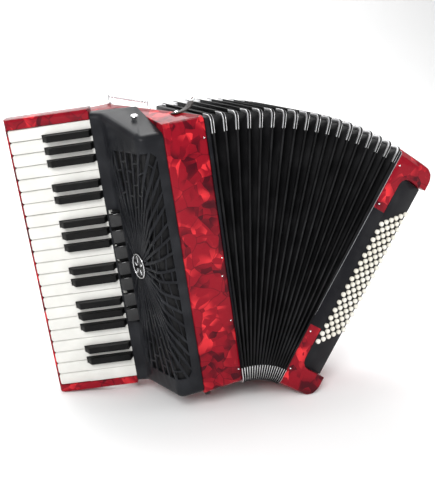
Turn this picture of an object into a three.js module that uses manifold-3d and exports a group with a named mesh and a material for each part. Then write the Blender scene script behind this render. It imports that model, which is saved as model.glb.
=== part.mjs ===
// Piano accordion, standing with its bellows fanned open. Millimetres, +Z up, X to the player's
// left hand (bass side), Y away from the listener. The treble side is built upright in its own
// frame (u right, y away, l up the keyboard); bellows and bass side use the same frame turned
// about the fan's apex; at the end the whole is leaned onto its two lower corners.
import * as THREE from "three";
import { mergeVertices } from "three/addons/utils/BufferGeometryUtils.js";
import Module from "manifold-3d";

const wasm = await Module();
wasm.setup();

// ---- Overall sizes
const DEPTH = 194; // front to back
const CASING_W = 63.5; // treble casing, keyboard side to bellows
const BASS_W = 75; // bass casing, bellows to outer face
const CASING_BOTTOM = -12;
const WALL = 8;
const SOUNDBOARD = 6; // wall between pallets and reeds
const GAP = 0.3; // between parts that touch

// ---- Bellows
const FAN_DEG = 40.2; // how far the fan stands open
const BELLOWS_BOTTOM = -9;
const BELLOWS_CLOSED = 66; // length of the folded pack, and of the open fan along its bottom
const SECTIONS = 6;
const PLEATS = 3; // in each section
const PLEAT_DEPTH = 18;
const CARD = 2.2;
const FAN_GAP_DEG = 0.08; // half the gap between sections

// ---- Keyboard
const PITCH = 19;
const WHITE_KEYS = 22;
const KEYS_TOP = PITCH * WHITE_KEYS;
const BLACK_AFTER = [1, 2, 3, 5, 6, 8, 9, 10, 12, 13, 15, 16, 17, 19, 20]; // from the top
const KEY_GAP = 0.8;
const KEY_LENGTH = 125.7; // in view, free end to grille
const KEY_FRONT = 49; // wide part, ahead of the black keys
const KEY_THICK = 12;
const KEY_CORNER = 3;
const KEY_EDGE = 1.2;
const BLACK_W = 10;
const BLACK_RISE = 11;
const BLACK_SLOPE = 7;
const KEY_DIP = 5;
const DIP_FREE = 1; // left under a pressed key
const KEYBOARD_TURN = THREE.MathUtils.degToRad(24.7); // from facing the front
const KEY_ROOT = [-132.2, -81.5]; // where the white tops meet the grille
const BED_THICK = 12;
const BED_REACH = 4.3; // past the free ends
const CHEEK_TOP = 15;
const CHEEK_BOTTOM = 11;
const CHEEK_RISE = 2;
const AXLE_R = 2.5;
const AXLE_CLEARANCE = 0.08;
const AXLE_AT = [24, 9]; // behind the root, below the tops
const LUG = 3.5;
const ARM_W = 7;
const ARM_THICK = 6;
const PALLET = { from: -120, to: -98, thick: 7 };
const VENT_W = 4.4;

// ---- Grille and registers
const GRILLE_WALL = 2.6;
const GRILLE_BOTTOM = -8;
const LEDGE_TO = [-113, -97];
const SIDE_TO = [-104.5, -176];
const FRONT_FROM = [-91, -190];
const FRONT_Y = -191.5;
const WEB = { y: -136, l: 196, halfY: 31, halfL: 178, spokes: 20, rings: 4, rib: 0.09 };
const REGISTERS = 7;
const REGISTER_PITCH = 25.8;
const REGISTER_FIRST = 264;
const REGISTER_LENGTH = 21;
const REGISTER_WINDOW = [7.2, 17.2]; // along the ledge
const REGISTER_PIVOT = [22.5, -1.5]; // along and across the ledge, where a tab rocks

// ---- Bass side
const BOARD_INNER = 24; // from the bellows, where the slanted board leaves the front
const BOARD_OUTER_Y = -180.7; // where it meets the outer face
const BOARD_THICK = 4;
const BOARD_FROM = 28;
const BOARD_TO = 372;
const BOARD_CORNER = 15;
const BUTTON_COLUMNS = 16;
const BUTTON_ROWS = 6;
const BUTTON_PITCH = 14.2;
const BUTTON_ROW = 8.5;
const BUTTON_FIRST_ROW = 6;
const BUTTON_FIRST = 76;
const BUTTON_R = 4;
const BUTTON_TIP_R = 3;
const BUTTON_H = 4.4;

// ---- Hand strap, wheel, shoulder strap bracket
const STRAP_W = 56;
const STRAP_Y = -60; // middle of the band
const STRAP_THICK = 4;
const STRAP_RISE = 34;
const STRAP_FROM = 42;
const STRAP_TO = 366;
const STRAP_FOOT = 22;
const WHEEL_R = 10;
const WHEEL_H = 7;
const WHEEL_AT = [50, -60];
const WHEEL_STEM_R = 3;
const BRACKET = { from: [-79, -13], to: [-18, -13], rise: 10, r: 2, foot: 4 }; // (u, y) of its posts
const BASS_CORNER = 24; // outer corners of the bass casing, seen from the front

// Heights that follow the keyboard
const CASING_TOP_BACK = KEYS_TOP + 7;
const CASING_TOP_FRONT = KEYS_TOP - 10;
const SHOULDER = { back: CASING_TOP_BACK - 28.5, fall: 0.35 }; // the top falls to this at the bellows
const BELLOWS_TOP = KEYS_TOP - 15;
const GRILLE_TOP_MAX = KEYS_TOP + 10;
const GRILLE_TOP = [[-87.5, KEYS_TOP + 9.6], [-188, KEYS_TOP - 20]]; // slope, as (y, l)

// ---- Solids
const TAU = Math.PI * 2;
const vec = ([x, y]) => new THREE.Vector2(x, y);

/** A manifold solid from a closed three.js geometry. */
function solid(geometry) {
  const g = geometry.clone();
  g.deleteAttribute("normal");
  g.deleteAttribute("uv");
  const merged = mergeVertices(g, 1e-4);
  return new wasm.Manifold(
    new wasm.Mesh({
      numProp: 3,
      vertProperties: new Float32Array(merged.attributes.position.array),
      triVerts: new Uint32Array(merged.index.array),
    }),
  );
}

/** A polygon of the XY plane, drawn anticlockwise, raised from z0 to z1. */
function prism(points, z0, z1) {
  const shape = new THREE.Shape(points.map(vec));
  const g = new THREE.ExtrudeGeometry(shape, { depth: z1 - z0, bevelEnabled: false });
  return solid(g.translate(0, 0, z0));
}

const box = (x0, x1, y0, y1, z0, z1) => prism([[x0, y0], [x1, y0], [x1, y1], [x0, y1]], z0, z1);

/** A regular prism round the Z axis through (x, y). */
const rod = (x, y, r, z0, z1, sides = 12, tip = r) =>
  solid(
    new THREE.CylinderGeometry(tip, r, z1 - z0, sides).rotateX(Math.PI / 2)
      .translate(x, y, (z0 + z1) / 2),
  );

/** The same solid seen through a matrix. */
const placed = (s, matrix) => s.transform(matrix.elements);
const basis = (x, y, z) =>
  new THREE.Matrix4().makeBasis(new THREE.Vector3(...x), new THREE.Vector3(...y),
    new THREE.Vector3(...z));
const YL = basis([0, 1, 0], [0, 0, 1], [1, 0, 0]); // draws in (y, l), raises along u
const UL = basis([1, 0, 0], [0, 0, 1], [0, -1, 0]); // draws in (u, l), raises towards the front

/** Points round a rectangle with rounded corners. */
function rounded(x0, x1, y0, y1, r, steps = 3) {
  const points = [];
  const corners = [[x1 - r, y1 - r, 0], [x0 + r, y1 - r, 1], [x0 + r, y0 + r, 2],
    [x1 - r, y0 + r, 3]];
  for (const [x, y, quarter] of corners)
    for (let i = 0; i <= steps; i++) {
      const a = (quarter + i / steps) * (TAU / 4);
      points.push([x + r * Math.cos(a), y + r * Math.sin(a)]);
    }
  return points;
}

/** Joins any number of solids. */
const join = (...parts) => parts.reduce((a, b) => a.add(b));

const root = new THREE.Group();
root.name = "piano_accordion";
const upright = new THREE.Group(); // the treble side's own frame
root.add(upright);

const FINISH = {
  red: { color: 0xa5122a, roughness: 0.2 },
  black: { color: 0x161617, roughness: 0.45 },
  cloth: { color: 0x1b1a1c, roughness: 0.8 },
  ivory: { color: 0xe9e6da, roughness: 0.3 },
  ebony: { color: 0x141414, roughness: 0.4 },
  cream: { color: 0xe6dcc0, roughness: 0.35 },
  steel: { color: 0xb9bcc0, roughness: 0.3, metalness: 1 },
  wood: { color: 0xb98d5a, roughness: 0.7 },
  leather: { color: 0x3b2418, roughness: 0.6 },
};

/** Adds one named mesh to a frame. */
function part(name, shape, finish, frame = upright) {
  const m = shape.getMesh();
  const g = new THREE.BufferGeometry();
  g.setAttribute("position", new THREE.BufferAttribute(new Float32Array(m.vertProperties), 3));
  g.setIndex(new THREE.BufferAttribute(new Uint32Array(m.triVerts), 1));
  g.computeVertexNormals();
  const mesh = new THREE.Mesh(g, new THREE.MeshStandardMaterial(FINISH[finish]));
  mesh.name = name;
  frame.add(mesh);
  return mesh;
}

const number = (n, digits) => String(n).padStart(digits, "0");

// ---- Keyboard frame: x along a key towards the grille, y into the bed, z up the keyboard
const keyFrame = new THREE.Matrix4().makeRotationZ(-KEYBOARD_TURN)
  .setPosition(KEY_ROOT[0], KEY_ROOT[1], 0);
const keyPoint = (x, y) => {
  const p = new THREE.Vector3(x, y, 0).applyMatrix4(keyFrame);
  return [p.x, p.y];
};
/** How far along a key, at a depth, the frame reaches a given u. */
const alongTo = (u, depth) =>
  (u - KEY_ROOT[0] - depth * Math.sin(KEYBOARD_TURN)) / Math.cos(KEYBOARD_TURN);
const BED_FACE = KEY_THICK + KEY_DIP + DIP_FREE;
const [AXLE_U, AXLE_Y] = keyPoint(...AXLE_AT);
const BLACK_FROM = -KEY_LENGTH + KEY_FRONT;

/** The hidden rear of a key: bar on the axle, arm and pallet, centred on a height. */
function keyTail(middle) {
  const z0 = middle - ARM_W / 2, z1 = middle + ARM_W / 2;
  const bar = placed(box(0, AXLE_AT[0] + 6, 1, AXLE_AT[1] + 5, z0, z1), keyFrame);
  const palletU = -CASING_W - GAP - PALLET.thick;
  const start = new THREE.Vector2(AXLE_U, AXLE_Y);
  const end = new THREE.Vector2(palletU + 2, (PALLET.from + PALLET.to) / 2);
  const side = end.clone().sub(start).normalize().rotateAround(new THREE.Vector2(), Math.PI / 2)
    .multiplyScalar(ARM_THICK / 2);
  const arm = prism(
    [start.clone().sub(side), end.clone().sub(side), end.clone().add(side),
      start.clone().add(side)].map((p) => p.toArray()), z0, z1);
  const pallet = box(palletU, -CASING_W - GAP, PALLET.from, PALLET.to, z0, z1);
  const hole = rod(AXLE_U, AXLE_Y, AXLE_R + AXLE_CLEARANCE, z0 - 1, z1 + 1);
  return join(bar, arm, pallet).subtract(hole);
}

const tails = []; // heights of the pallets

function whiteKey(n) {
  const top = KEYS_TOP - (n - 1) * PITCH, low = top - PITCH;
  const cut = BLACK_W / 2 + KEY_GAP;
  const neckTop = BLACK_AFTER.includes(n - 1) ? top - cut : top - KEY_GAP / 2;
  const neckLow = BLACK_AFTER.includes(n) ? low + cut : low + KEY_GAP / 2;
  const middle = (neckTop + neckLow) / 2;
  const headZ = [low + KEY_GAP / 2, top - KEY_GAP / 2];
  const c = KEY_CORNER, e = KEY_EDGE, x0 = -KEY_LENGTH;
  const plan = (d) => [[x0 + d, headZ[0] + c], [x0 + d + c * 0.3, headZ[0] + c * 0.3 + d],
    [x0 + c + d, headZ[0] + d], [BLACK_FROM, headZ[0] + d], [BLACK_FROM, headZ[1] - d],
    [x0 + c + d, headZ[1] - d], [x0 + d + c * 0.3, headZ[1] - c * 0.3 - d],
    [x0 + d, headZ[1] - c]];
  // The head is drawn in (x, l) and raised towards the player: a base and a bevelled rim.
  const base = placed(prism(plan(0), -KEY_THICK, -e), UL);
  const rim = placed(prism(plan(e * 0.7), -KEY_THICK + e, 0), UL);
  const neck = box(BLACK_FROM - 1, 4, 0, KEY_THICK, neckLow, neckTop);
  const head = placed(join(base, rim, neck), keyFrame);
  tails.push(middle);
  return head.add(keyTail(middle));
}

function blackKey(after) {
  const middle = KEYS_TOP - after * PITCH;
  const x = BLACK_FROM + 0.5;
  const side = [[x, KEY_THICK], [x, 1], [x + BLACK_SLOPE, -BLACK_RISE + 1.5],
    [x + BLACK_SLOPE + 2, -BLACK_RISE], [-5, -BLACK_RISE], [-3, 1], [4, 1], [4, KEY_THICK]];
  const body = prism(side.reverse(), middle - BLACK_W / 2, middle + BLACK_W / 2);
  tails.push(middle);
  return placed(body, keyFrame).add(keyTail(middle));
}

for (let n = 1; n <= WHITE_KEYS; n++) part("white_key_" + number(n, 2), whiteKey(n), "ivory");
BLACK_AFTER.forEach((after, i) =>
  part("black_key_" + number(i + 1, 2), blackKey(after), "ebony"));

// ---- Bed, cheeks and axle
const bedEnd = -KEY_LENGTH - BED_REACH;
const bedBack = BED_FACE + BED_THICK;
const cheekSide = [[bedEnd, bedBack], [bedEnd, 7], [bedEnd + 2.5, 1], [bedEnd + 9, -CHEEK_RISE],
  [-2.4, -CHEEK_RISE], [-2.4, bedBack]];
const lugX = AXLE_AT[0] + AXLE_R + 5;
const slab = prism(
  [keyPoint(bedEnd, bedBack), keyPoint(bedEnd, BED_FACE),
    keyPoint(alongTo(-CASING_W - GAP, BED_FACE), BED_FACE),
    keyPoint(alongTo(-CASING_W - GAP, bedBack), bedBack)].map(([x, y]) => [x, y]),
  -CHEEK_BOTTOM - GAP * 2, CASING_TOP_BACK - 6);
const fascia = placed(box(bedEnd, bedEnd + 2.6, 7, BED_FACE + 2, -1, KEYS_TOP + 1), keyFrame);
const ends = [[-CHEEK_BOTTOM - GAP * 2, -GAP * 2], [KEYS_TOP + GAP * 2, KEYS_TOP + GAP * 2 + CHEEK_TOP]];
const lugs = [[-GAP * 2 - LUG, -GAP * 2], [KEYS_TOP + GAP * 2, KEYS_TOP + GAP * 2 + LUG]];
let bed = join(slab, fascia);
for (const [z0, z1] of ends)
  bed = bed.add(placed(prism([...cheekSide].reverse(), z0, z1), keyFrame));
for (const [z0, z1] of lugs)
  bed = bed.add(placed(box(-4, lugX, 2, BED_FACE + 1, z0, z1), keyFrame));
bed = bed.subtract(rod(AXLE_U, AXLE_Y, AXLE_R, lugs[0][0] - 1, lugs[1][1] + 1));
part("keyboard_bed", bed, "red");
part("key_axle", rod(AXLE_U, AXLE_Y, AXLE_R - 0.02, lugs[0][0], lugs[1][1]), "steel");

// ---- Treble casing: a shell round the reeds, open to the bellows
const backLine = bedBack + GAP;
const outer = [[0, -DEPTH], [0, 0], [-118, 0], [-132, -9], keyPoint(-14, backLine),
  keyPoint(alongTo(-CASING_W, backLine), backLine), [-CASING_W, -DEPTH]];
const inner = [[20, -DEPTH + WALL], [20, -WALL], [-116, -WALL], [-124, -14],
  keyPoint(-10, backLine + WALL),
  keyPoint(alongTo(-CASING_W + SOUNDBOARD, backLine + WALL), backLine + WALL),
  [-CASING_W + SOUNDBOARD, -DEPTH + WALL]];
/** The end view of a casing: rounded, its top sloping down to the front. */
const endView = (front, back, low, topFront, topBack, r) => {
  const pts = [[back, low + r], [back, topBack - r], [back - r * 0.3, topBack - r * 0.3],
    [back - r, topBack], [front + r, topFront], [front + r * 0.3, topFront - r * 0.3],
    [front, topFront - r], [front, low + r], [front + r * 0.3, low + r * 0.3],
    [front + r, low], [back - r, low], [back - r * 0.3, low + r * 0.3]];
  return pts;
};
const rim = endView(-DEPTH, 0, CASING_BOTTOM, CASING_TOP_FRONT, CASING_TOP_BACK, 9);
const hollow = endView(-DEPTH + WALL, -WALL, CASING_BOTTOM + WALL, CASING_TOP_FRONT - WALL,
  CASING_TOP_BACK - WALL, 4);
/** A prism under the shoulder, whose top falls towards the bellows and the back. */
const underShoulder = (inset, r) => placed(prism(
  endView(-DEPTH + inset, -inset, -DEPTH, CASING_TOP_FRONT - inset, SHOULDER.back - inset, r),
  -200, 50), new THREE.Matrix4().makeShear(0, -SHOULDER.fall, 0, 0, 0, 0).multiply(YL));
let casing = prism(outer, CASING_BOTTOM - 1, CASING_TOP_BACK + 1)
  .intersect(placed(prism(rim, -200, 50), YL)).intersect(underShoulder(0, 9));
casing = casing.subtract(
  prism(inner, CASING_BOTTOM - 1, CASING_TOP_BACK + 1)
    .intersect(placed(prism(hollow, -200, 50), YL)).intersect(underShoulder(WALL, 4)));
for (const middle of tails)
  casing = casing.subtract(box(-CASING_W - 1, -CASING_W + SOUNDBOARD + 1, PALLET.from + 4,
    PALLET.to - 4, middle - VENT_W / 2, middle + VENT_W / 2));
part("treble_casing", casing, "red");

const reedFoot = -CASING_W + SOUNDBOARD + GAP;
part("treble_reed_block", prism(
  [[reedFoot, PALLET.from - 6], [reedFoot + 34, PALLET.from + 6], [reedFoot + 34, PALLET.to - 6],
    [reedFoot, PALLET.to + 6]], 6, 392), "wood");

// ---- Grille: a cover over pallets and arms, pierced by a web
const lip = [-1.5, -3.2];
const hem = BED_FACE - GAP * 2;
const coverFace = -CASING_W - GAP;
const bend = (inset) => {
  const [x0, y0] = SIDE_TO, [x1, y1] = FRONT_FROM;
  const points = [];
  for (let i = 0; i <= 3; i++) {
    const a = (i / 3) * (TAU / 4);
    points.push([x0 + inset + (x1 - x0) * (1 - Math.cos(a)),
      y0 + (y1 + inset - y0) * Math.sin(a)]);
  }
  return points;
};
const cover = [keyPoint(...lip), LEDGE_TO, ...bend(0), [coverFace, FRONT_Y],
  keyPoint(alongTo(coverFace, hem), hem), keyPoint(-1.5, hem)];
const w = GRILLE_WALL;
const lipIn = keyPoint(lip[0] + w, lip[1] + w);
const room = [keyPoint(lip[0] + w, hem + 5), lipIn, [LEDGE_TO[0] + w, LEDGE_TO[1] + w],
  ...bend(w), [coverFace + 5, FRONT_Y + w], [coverFace + 5, -60]];
const [[backY, backL], [frontY, frontL]] = GRILLE_TOP;
const slope = (frontL - backL) / (frontY - backY);
const topView = (drop) => [[-60, GRILLE_BOTTOM + drop], [-60, GRILLE_TOP_MAX - drop],
  [backY, backL - drop], [frontY, frontL - drop], [-210, frontL - drop + slope * (-210 - frontY)],
  [-210, GRILLE_BOTTOM + drop]];
const tall = [GRILLE_BOTTOM - 1, GRILLE_TOP_MAX + 1];
let grille = prism([...cover].reverse(), ...tall)
  .intersect(placed(prism(topView(0), -200, 0), YL));
grille = grille.subtract(
  prism([...room].reverse(), ...tall).intersect(placed(prism(topView(w), -200, 0), YL)));
grille = grille.subtract( // the keys run in under the lip
  placed(box(-3, w + 1.2, -0.6, hem + 5, lugs[0][0] - GAP, lugs[1][1] + GAP), keyFrame));

/** A point of the web, from its spoke angle and its ring, 0 at the medallion and 1 at the rim. */
function webPoint(angle, ring) {
  const squash = (v) => Math.sign(v) * Math.abs(v) ** 0.62;
  return [WEB.y + WEB.halfY * ring * squash(Math.cos(angle)),
    WEB.l + WEB.halfL * ring * squash(Math.sin(angle))];
}
for (let s = 0; s < WEB.spokes; s++)
  for (let r = 0; r < WEB.rings; r++) {
    const a0 = ((s + WEB.rib) / WEB.spokes) * TAU, a1 = ((s + 1 - WEB.rib) / WEB.spokes) * TAU;
    const r0 = 0.26 + (r * 0.74) / WEB.rings, r1 = 0.26 + ((r + 1) * 0.74) / WEB.rings - 0.04;
    const slot = [webPoint(a0, r0), webPoint(a0, r1), webPoint(a1, r1), webPoint(a1, r0)];
    grille = grille.subtract(placed(prism(slot, -125, -97), YL));
  }
const LOUVRES = 13;
for (let i = 0; i < LOUVRES; i++) {
  const z = 26 + i * 27.6;
  grille = grille.subtract(box(-88, -70, -200, FRONT_Y + w + 4, z, z + 19));
}
// ---- Register tabs on the sloping ledge, each rocking about a line along the keyboard
const [ledgeU, ledgeY] = keyPoint(...lip);
const ledgeTurn = Math.atan2(LEDGE_TO[1] - ledgeY, LEDGE_TO[0] - ledgeU);
const ledgeFrame = new THREE.Matrix4().makeRotationZ(ledgeTurn).setPosition(ledgeU, ledgeY, 0);
const registerTop = REGISTER_FIRST + REGISTER_LENGTH / 2;
const registerEnd = registerTop - REGISTER_PITCH * (REGISTERS - 1) - REGISTER_LENGTH;
grille = grille.subtract(placed(
  box(REGISTER_WINDOW[0], REGISTER_WINDOW[1], -1, w + 1.4, registerEnd - 2, registerTop + 2),
  ledgeFrame));
part("treble_grille", grille, "black");
for (let i = 0; i < REGISTERS; i++) {
  const middle = REGISTER_FIRST - i * REGISTER_PITCH;
  const [rearX, rearY] = REGISTER_PIVOT;
  const cap = [[4, -3.2], [4.6, -8.4], [12, -9.4], [rearX + 1.1, -5.6], [rearX + 1.1, rearY + 0.7]];
  const stem = [[10, 2.8], [10, -3], [14, -3], [14, 2.8]];
  const z = [middle - REGISTER_LENGTH / 2, middle + REGISTER_LENGTH / 2];
  const tab = prism(cap, ...z).add(prism(stem, z[0] + 5, z[1] - 5));
  part("register_tab_" + (i + 1), placed(tab, ledgeFrame), "black");
}

// ---- Shoulder strap bracket along the back edge of the shoulder
const casingTopAt = (u, y) => {
  const forward = (-y - 9) / (DEPTH - 18);
  const level = CASING_TOP_BACK + (CASING_TOP_FRONT - CASING_TOP_BACK) * forward;
  const shoulder = SHOULDER.back + (CASING_TOP_FRONT - SHOULDER.back) * forward - SHOULDER.fall * u;
  return Math.min(level, shoulder);
};
const SLOPE_DROP = 1.8; // a level foot on the shoulder clears it by this
const posts = [BRACKET.from, BRACKET.to].map(([u, y]) => {
  const seat = casingTopAt(u, y) + SLOPE_DROP;
  return rod(u, y, BRACKET.r, seat, seat + BRACKET.rise, 10)
    .add(rod(u, y, BRACKET.foot, seat, seat + 2, 12));
});
const barEnds = [BRACKET.from, BRACKET.to].map(([u, y]) =>
  new THREE.Vector3(u, y, casingTopAt(u, y) + SLOPE_DROP + BRACKET.rise));
const span = barEnds[1].clone().sub(barEnds[0]);
const bar = rod(0, 0, BRACKET.r, -BRACKET.r, span.length() + BRACKET.r, 10).transform(
  new THREE.Matrix4().makeRotationFromQuaternion(new THREE.Quaternion()
    .setFromUnitVectors(new THREE.Vector3(0, 0, 1), span.clone().normalize()))
    .setPosition(barEnds[0]).elements);
part("shoulder_strap_bracket", join(...posts, bar), "steel");

// ---- The fan: bellows and bass side turn about an apex below the treble side
const FAN = THREE.MathUtils.degToRad(FAN_DEG);
const APEX = BELLOWS_BOTTOM - BELLOWS_CLOSED / FAN;
/** The treble frame turned about the apex by an angle. */
const fanFrame = (angle) => new THREE.Matrix4().makeTranslation(0, 0, APEX)
  .multiply(new THREE.Matrix4().makeRotationY(angle))
  .multiply(new THREE.Matrix4().makeTranslation(0, 0, -APEX));

/** One ring of the bellows wall: rectangle with cut corners, an inset in from the ridges. */
function ring(angle, inset) {
  const m = fanFrame(angle), c = 7;
  const y0 = -DEPTH + inset, y1 = -inset, z0 = BELLOWS_BOTTOM + inset, z1 = BELLOWS_TOP - inset;
  return [[y0 + c, z0], [y1 - c, z0], [y1, z0 + c], [y1, z1 - c], [y1 - c, z1], [y0 + c, z1],
    [y0, z1 - c], [y0, z0 + c]].map(([y, z]) => new THREE.Vector3(0, y, z).applyMatrix4(m));
}

/** A pleated length of bellows, open at both ends. */
function bellows(from, to) {
  const stations = PLEATS * 2;
  const rings = [];
  for (let i = 0; i <= stations; i++) {
    const angle = from + ((to - from) * i) / stations;
    rings.push([angle, i % 2 ? 0 : PLEAT_DEPTH]);
  }
  const loops = [...rings.map(([a, d]) => ring(a, d)),
    ...rings.reverse().map(([a, d]) => ring(a, d + CARD))];
  const n = loops[0].length, triangles = [];
  loops.forEach((loop, i) => {
    const next = loops[(i + 1) % loops.length];
    const lining = i > stations; // its twisted faces split along the same diagonal as the outside
    for (let j = 0; j < n; j++) {
      const k = (j + 1) % n;
      triangles.push(loop[j], loop[k], lining ? next[j] : next[k]);
      triangles.push(lining ? loop[k] : loop[j], next[k], next[j]);
    }
  });
  const g = new THREE.BufferGeometry().setFromPoints(triangles);
  return solid(g);
}
const gap = THREE.MathUtils.degToRad(FAN_GAP_DEG);
for (let i = 0; i < SECTIONS; i++)
  part("bellows_section_" + (i + 1),
    bellows((FAN * i) / SECTIONS + gap, (FAN * (i + 1)) / SECTIONS - gap), "cloth");

const bass = new THREE.Group();
bass.applyMatrix4(fanFrame(FAN));
upright.add(bass);

// ---- Bass casing: a shell open to the bellows, with a slanted bay for the buttons
const bassTop = CASING_TOP_FRONT;
const bassEnd = endView(-DEPTH, 0, CASING_BOTTOM, bassTop, bassTop, 9);
const bassHollow = endView(-DEPTH + WALL, -WALL, CASING_BOTTOM + WALL, bassTop - WALL,
  bassTop - WALL, 4);
const slant = Math.atan2(BOARD_OUTER_Y + DEPTH, BASS_W - BOARD_INNER);
const boardLength = Math.hypot(BOARD_OUTER_Y + DEPTH, BASS_W - BOARD_INNER);
// Board frame: x along the slant outwards, y up the casing, z out of the board.
const boardFrame = basis([Math.cos(slant), Math.sin(slant), 0], [0, 0, 1],
  [Math.sin(slant), -Math.cos(slant), 0]).setPosition(BOARD_INNER - Math.sin(slant) * BOARD_THICK,
  -DEPTH + Math.cos(slant) * BOARD_THICK, 0); // sunk, so that the board's top is flush
const shrink = WALL;
let bassCase = placed(prism(bassEnd, 0, BASS_W), YL);
const slantFloor = [[-5, -DEPTH + WALL], [BOARD_INNER - 14, -DEPTH + WALL],
  [BASS_W - shrink, BOARD_OUTER_Y + BOARD_THICK + 10], [BASS_W - shrink, -WALL], [-5, -WALL]];
bassCase = bassCase.subtract(
  prism(slantFloor, CASING_BOTTOM, bassTop).intersect(placed(prism(bassHollow, -10, BASS_W), YL)));
bassCase = bassCase.subtract(placed(
  prism(rounded(0, boardLength + 60, BOARD_FROM, BOARD_TO, BOARD_CORNER), -GAP, 60),
  boardFrame));
bassCase = bassCase.subtract(rod(...WHEEL_AT, WHEEL_STEM_R + AXLE_CLEARANCE, bassTop - WALL - 2,
  bassTop + 1));
const R = BASS_CORNER, quarter = (x, z, from) => Array.from({ length: 9 }, (_, i) => {
  const a = ((from + i / 8) * TAU) / 4;
  return [x + R * Math.cos(a), z + R * Math.sin(a)];
});
const faceView = [[-1, CASING_BOTTOM], ...quarter(BASS_W - R, CASING_BOTTOM + R, 3),
  ...quarter(BASS_W - R, bassTop - R, 0), [-1, bassTop]];
bassCase = bassCase.intersect(placed(prism(faceView, -1, DEPTH + 1), UL));
part("bass_casing", bassCase, "red", bass);

let board = prism(rounded(1, boardLength + 60, BOARD_FROM + 1, BOARD_TO - 1, BOARD_CORNER - 1),
  0, BOARD_THICK)
  .intersect(box(0, boardLength - 1, BOARD_FROM, BOARD_TO, 0, BOARD_THICK));
for (let row = 0; row < BUTTON_ROWS; row++)
  for (let column = 0; column < BUTTON_COLUMNS; column++)
    board = board.add(rod(BUTTON_FIRST_ROW + row * BUTTON_ROW,
      BUTTON_FIRST + column * BUTTON_PITCH + (row * BUTTON_PITCH) / 2,
      BUTTON_R, BOARD_THICK - 0.5, BOARD_THICK + BUTTON_H, 8, BUTTON_TIP_R));
part("bass_button_board", placed(board, boardFrame), "cream", bass);

// ---- Hand strap along the outer face, and the wheel that tightens it
const strapTop = (l) => {
  const t = (l - STRAP_FROM) / (STRAP_TO - STRAP_FROM);
  return STRAP_RISE * Math.min(1, Math.sin(Math.PI * t) * 1.25);
};
const strapLine = [];
for (let i = 0; i <= 14; i++) {
  const l = STRAP_FROM + ((STRAP_TO - STRAP_FROM) * i) / 14;
  strapLine.push([strapTop(l), l]);
}
const face = BASS_W + GAP;
const strapSide = [[face, STRAP_FROM - STRAP_FOOT],
  [face + STRAP_THICK, STRAP_FROM - STRAP_FOOT],
  ...strapLine.map(([h, l]) => [face + STRAP_THICK + h, l]),
  [face + STRAP_THICK, STRAP_TO + STRAP_FOOT], [face, STRAP_TO + STRAP_FOOT],
  ...strapLine.reverse().map(([h, l]) => [face + h, l])];
part("hand_strap", placed(prism(strapSide, -STRAP_Y - STRAP_W / 2, -STRAP_Y + STRAP_W / 2), UL),
  "leather", bass);
const wheelSeat = bassTop + GAP;
part("strap_wheel",
  join(rod(...WHEEL_AT, WHEEL_STEM_R, wheelSeat - 14, wheelSeat + 2, 12),
    rod(...WHEEL_AT, WHEEL_R, wheelSeat + 1, wheelSeat + 1 + WHEEL_H, 20)), "steel", bass);

// ---- Lean the whole onto its two lower corners, and centre it over the origin
root.updateMatrixWorld(true);
const trebleCorner = new THREE.Vector3(keyPoint(bedEnd, BED_FACE)[0], 0,
  -CHEEK_BOTTOM - GAP * 2);
const roll = new THREE.Vector3(BASS_W - BASS_CORNER, 0, CASING_BOTTOM + BASS_CORNER)
  .applyMatrix4(fanFrame(FAN)).sub(trebleCorner); // to the centre of the round bass corner
const lean = Math.asin(BASS_CORNER / roll.length()) - Math.atan2(roll.z, roll.x);
upright.rotation.y = -lean;
root.updateMatrixWorld(true);
const bounds = new THREE.Box3().setFromObject(root, true);
const centre = bounds.getCenter(new THREE.Vector3());
upright.position.set(-centre.x, -centre.y, -bounds.min.z);
root.updateMatrixWorld(true);

export default root;
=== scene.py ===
"""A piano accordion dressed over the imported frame: finishes, soft bellows, light and camera."""

import logging
import math
from dataclasses import dataclass, field
from enum import Enum
from typing import Callable, Iterable, Optional, Sequence
import bmesh
import bpy
from mathutils import Matrix, Vector


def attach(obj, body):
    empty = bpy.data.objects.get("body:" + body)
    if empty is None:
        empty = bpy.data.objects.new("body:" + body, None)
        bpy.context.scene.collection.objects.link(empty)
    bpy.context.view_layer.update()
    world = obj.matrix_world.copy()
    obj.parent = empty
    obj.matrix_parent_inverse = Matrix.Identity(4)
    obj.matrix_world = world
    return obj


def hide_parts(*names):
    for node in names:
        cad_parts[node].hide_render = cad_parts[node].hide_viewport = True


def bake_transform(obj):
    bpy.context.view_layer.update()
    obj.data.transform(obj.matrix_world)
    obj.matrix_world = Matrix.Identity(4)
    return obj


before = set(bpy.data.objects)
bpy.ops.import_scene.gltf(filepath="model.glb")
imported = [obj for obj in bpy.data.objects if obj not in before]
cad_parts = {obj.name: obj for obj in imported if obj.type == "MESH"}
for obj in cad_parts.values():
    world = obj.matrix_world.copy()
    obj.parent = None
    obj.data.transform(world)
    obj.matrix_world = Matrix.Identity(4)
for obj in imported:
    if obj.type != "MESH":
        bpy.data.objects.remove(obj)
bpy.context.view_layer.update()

log = logging.getLogger("accordion")
MM = 0.001
Point = tuple[float, float]
TAU = math.tau


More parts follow.
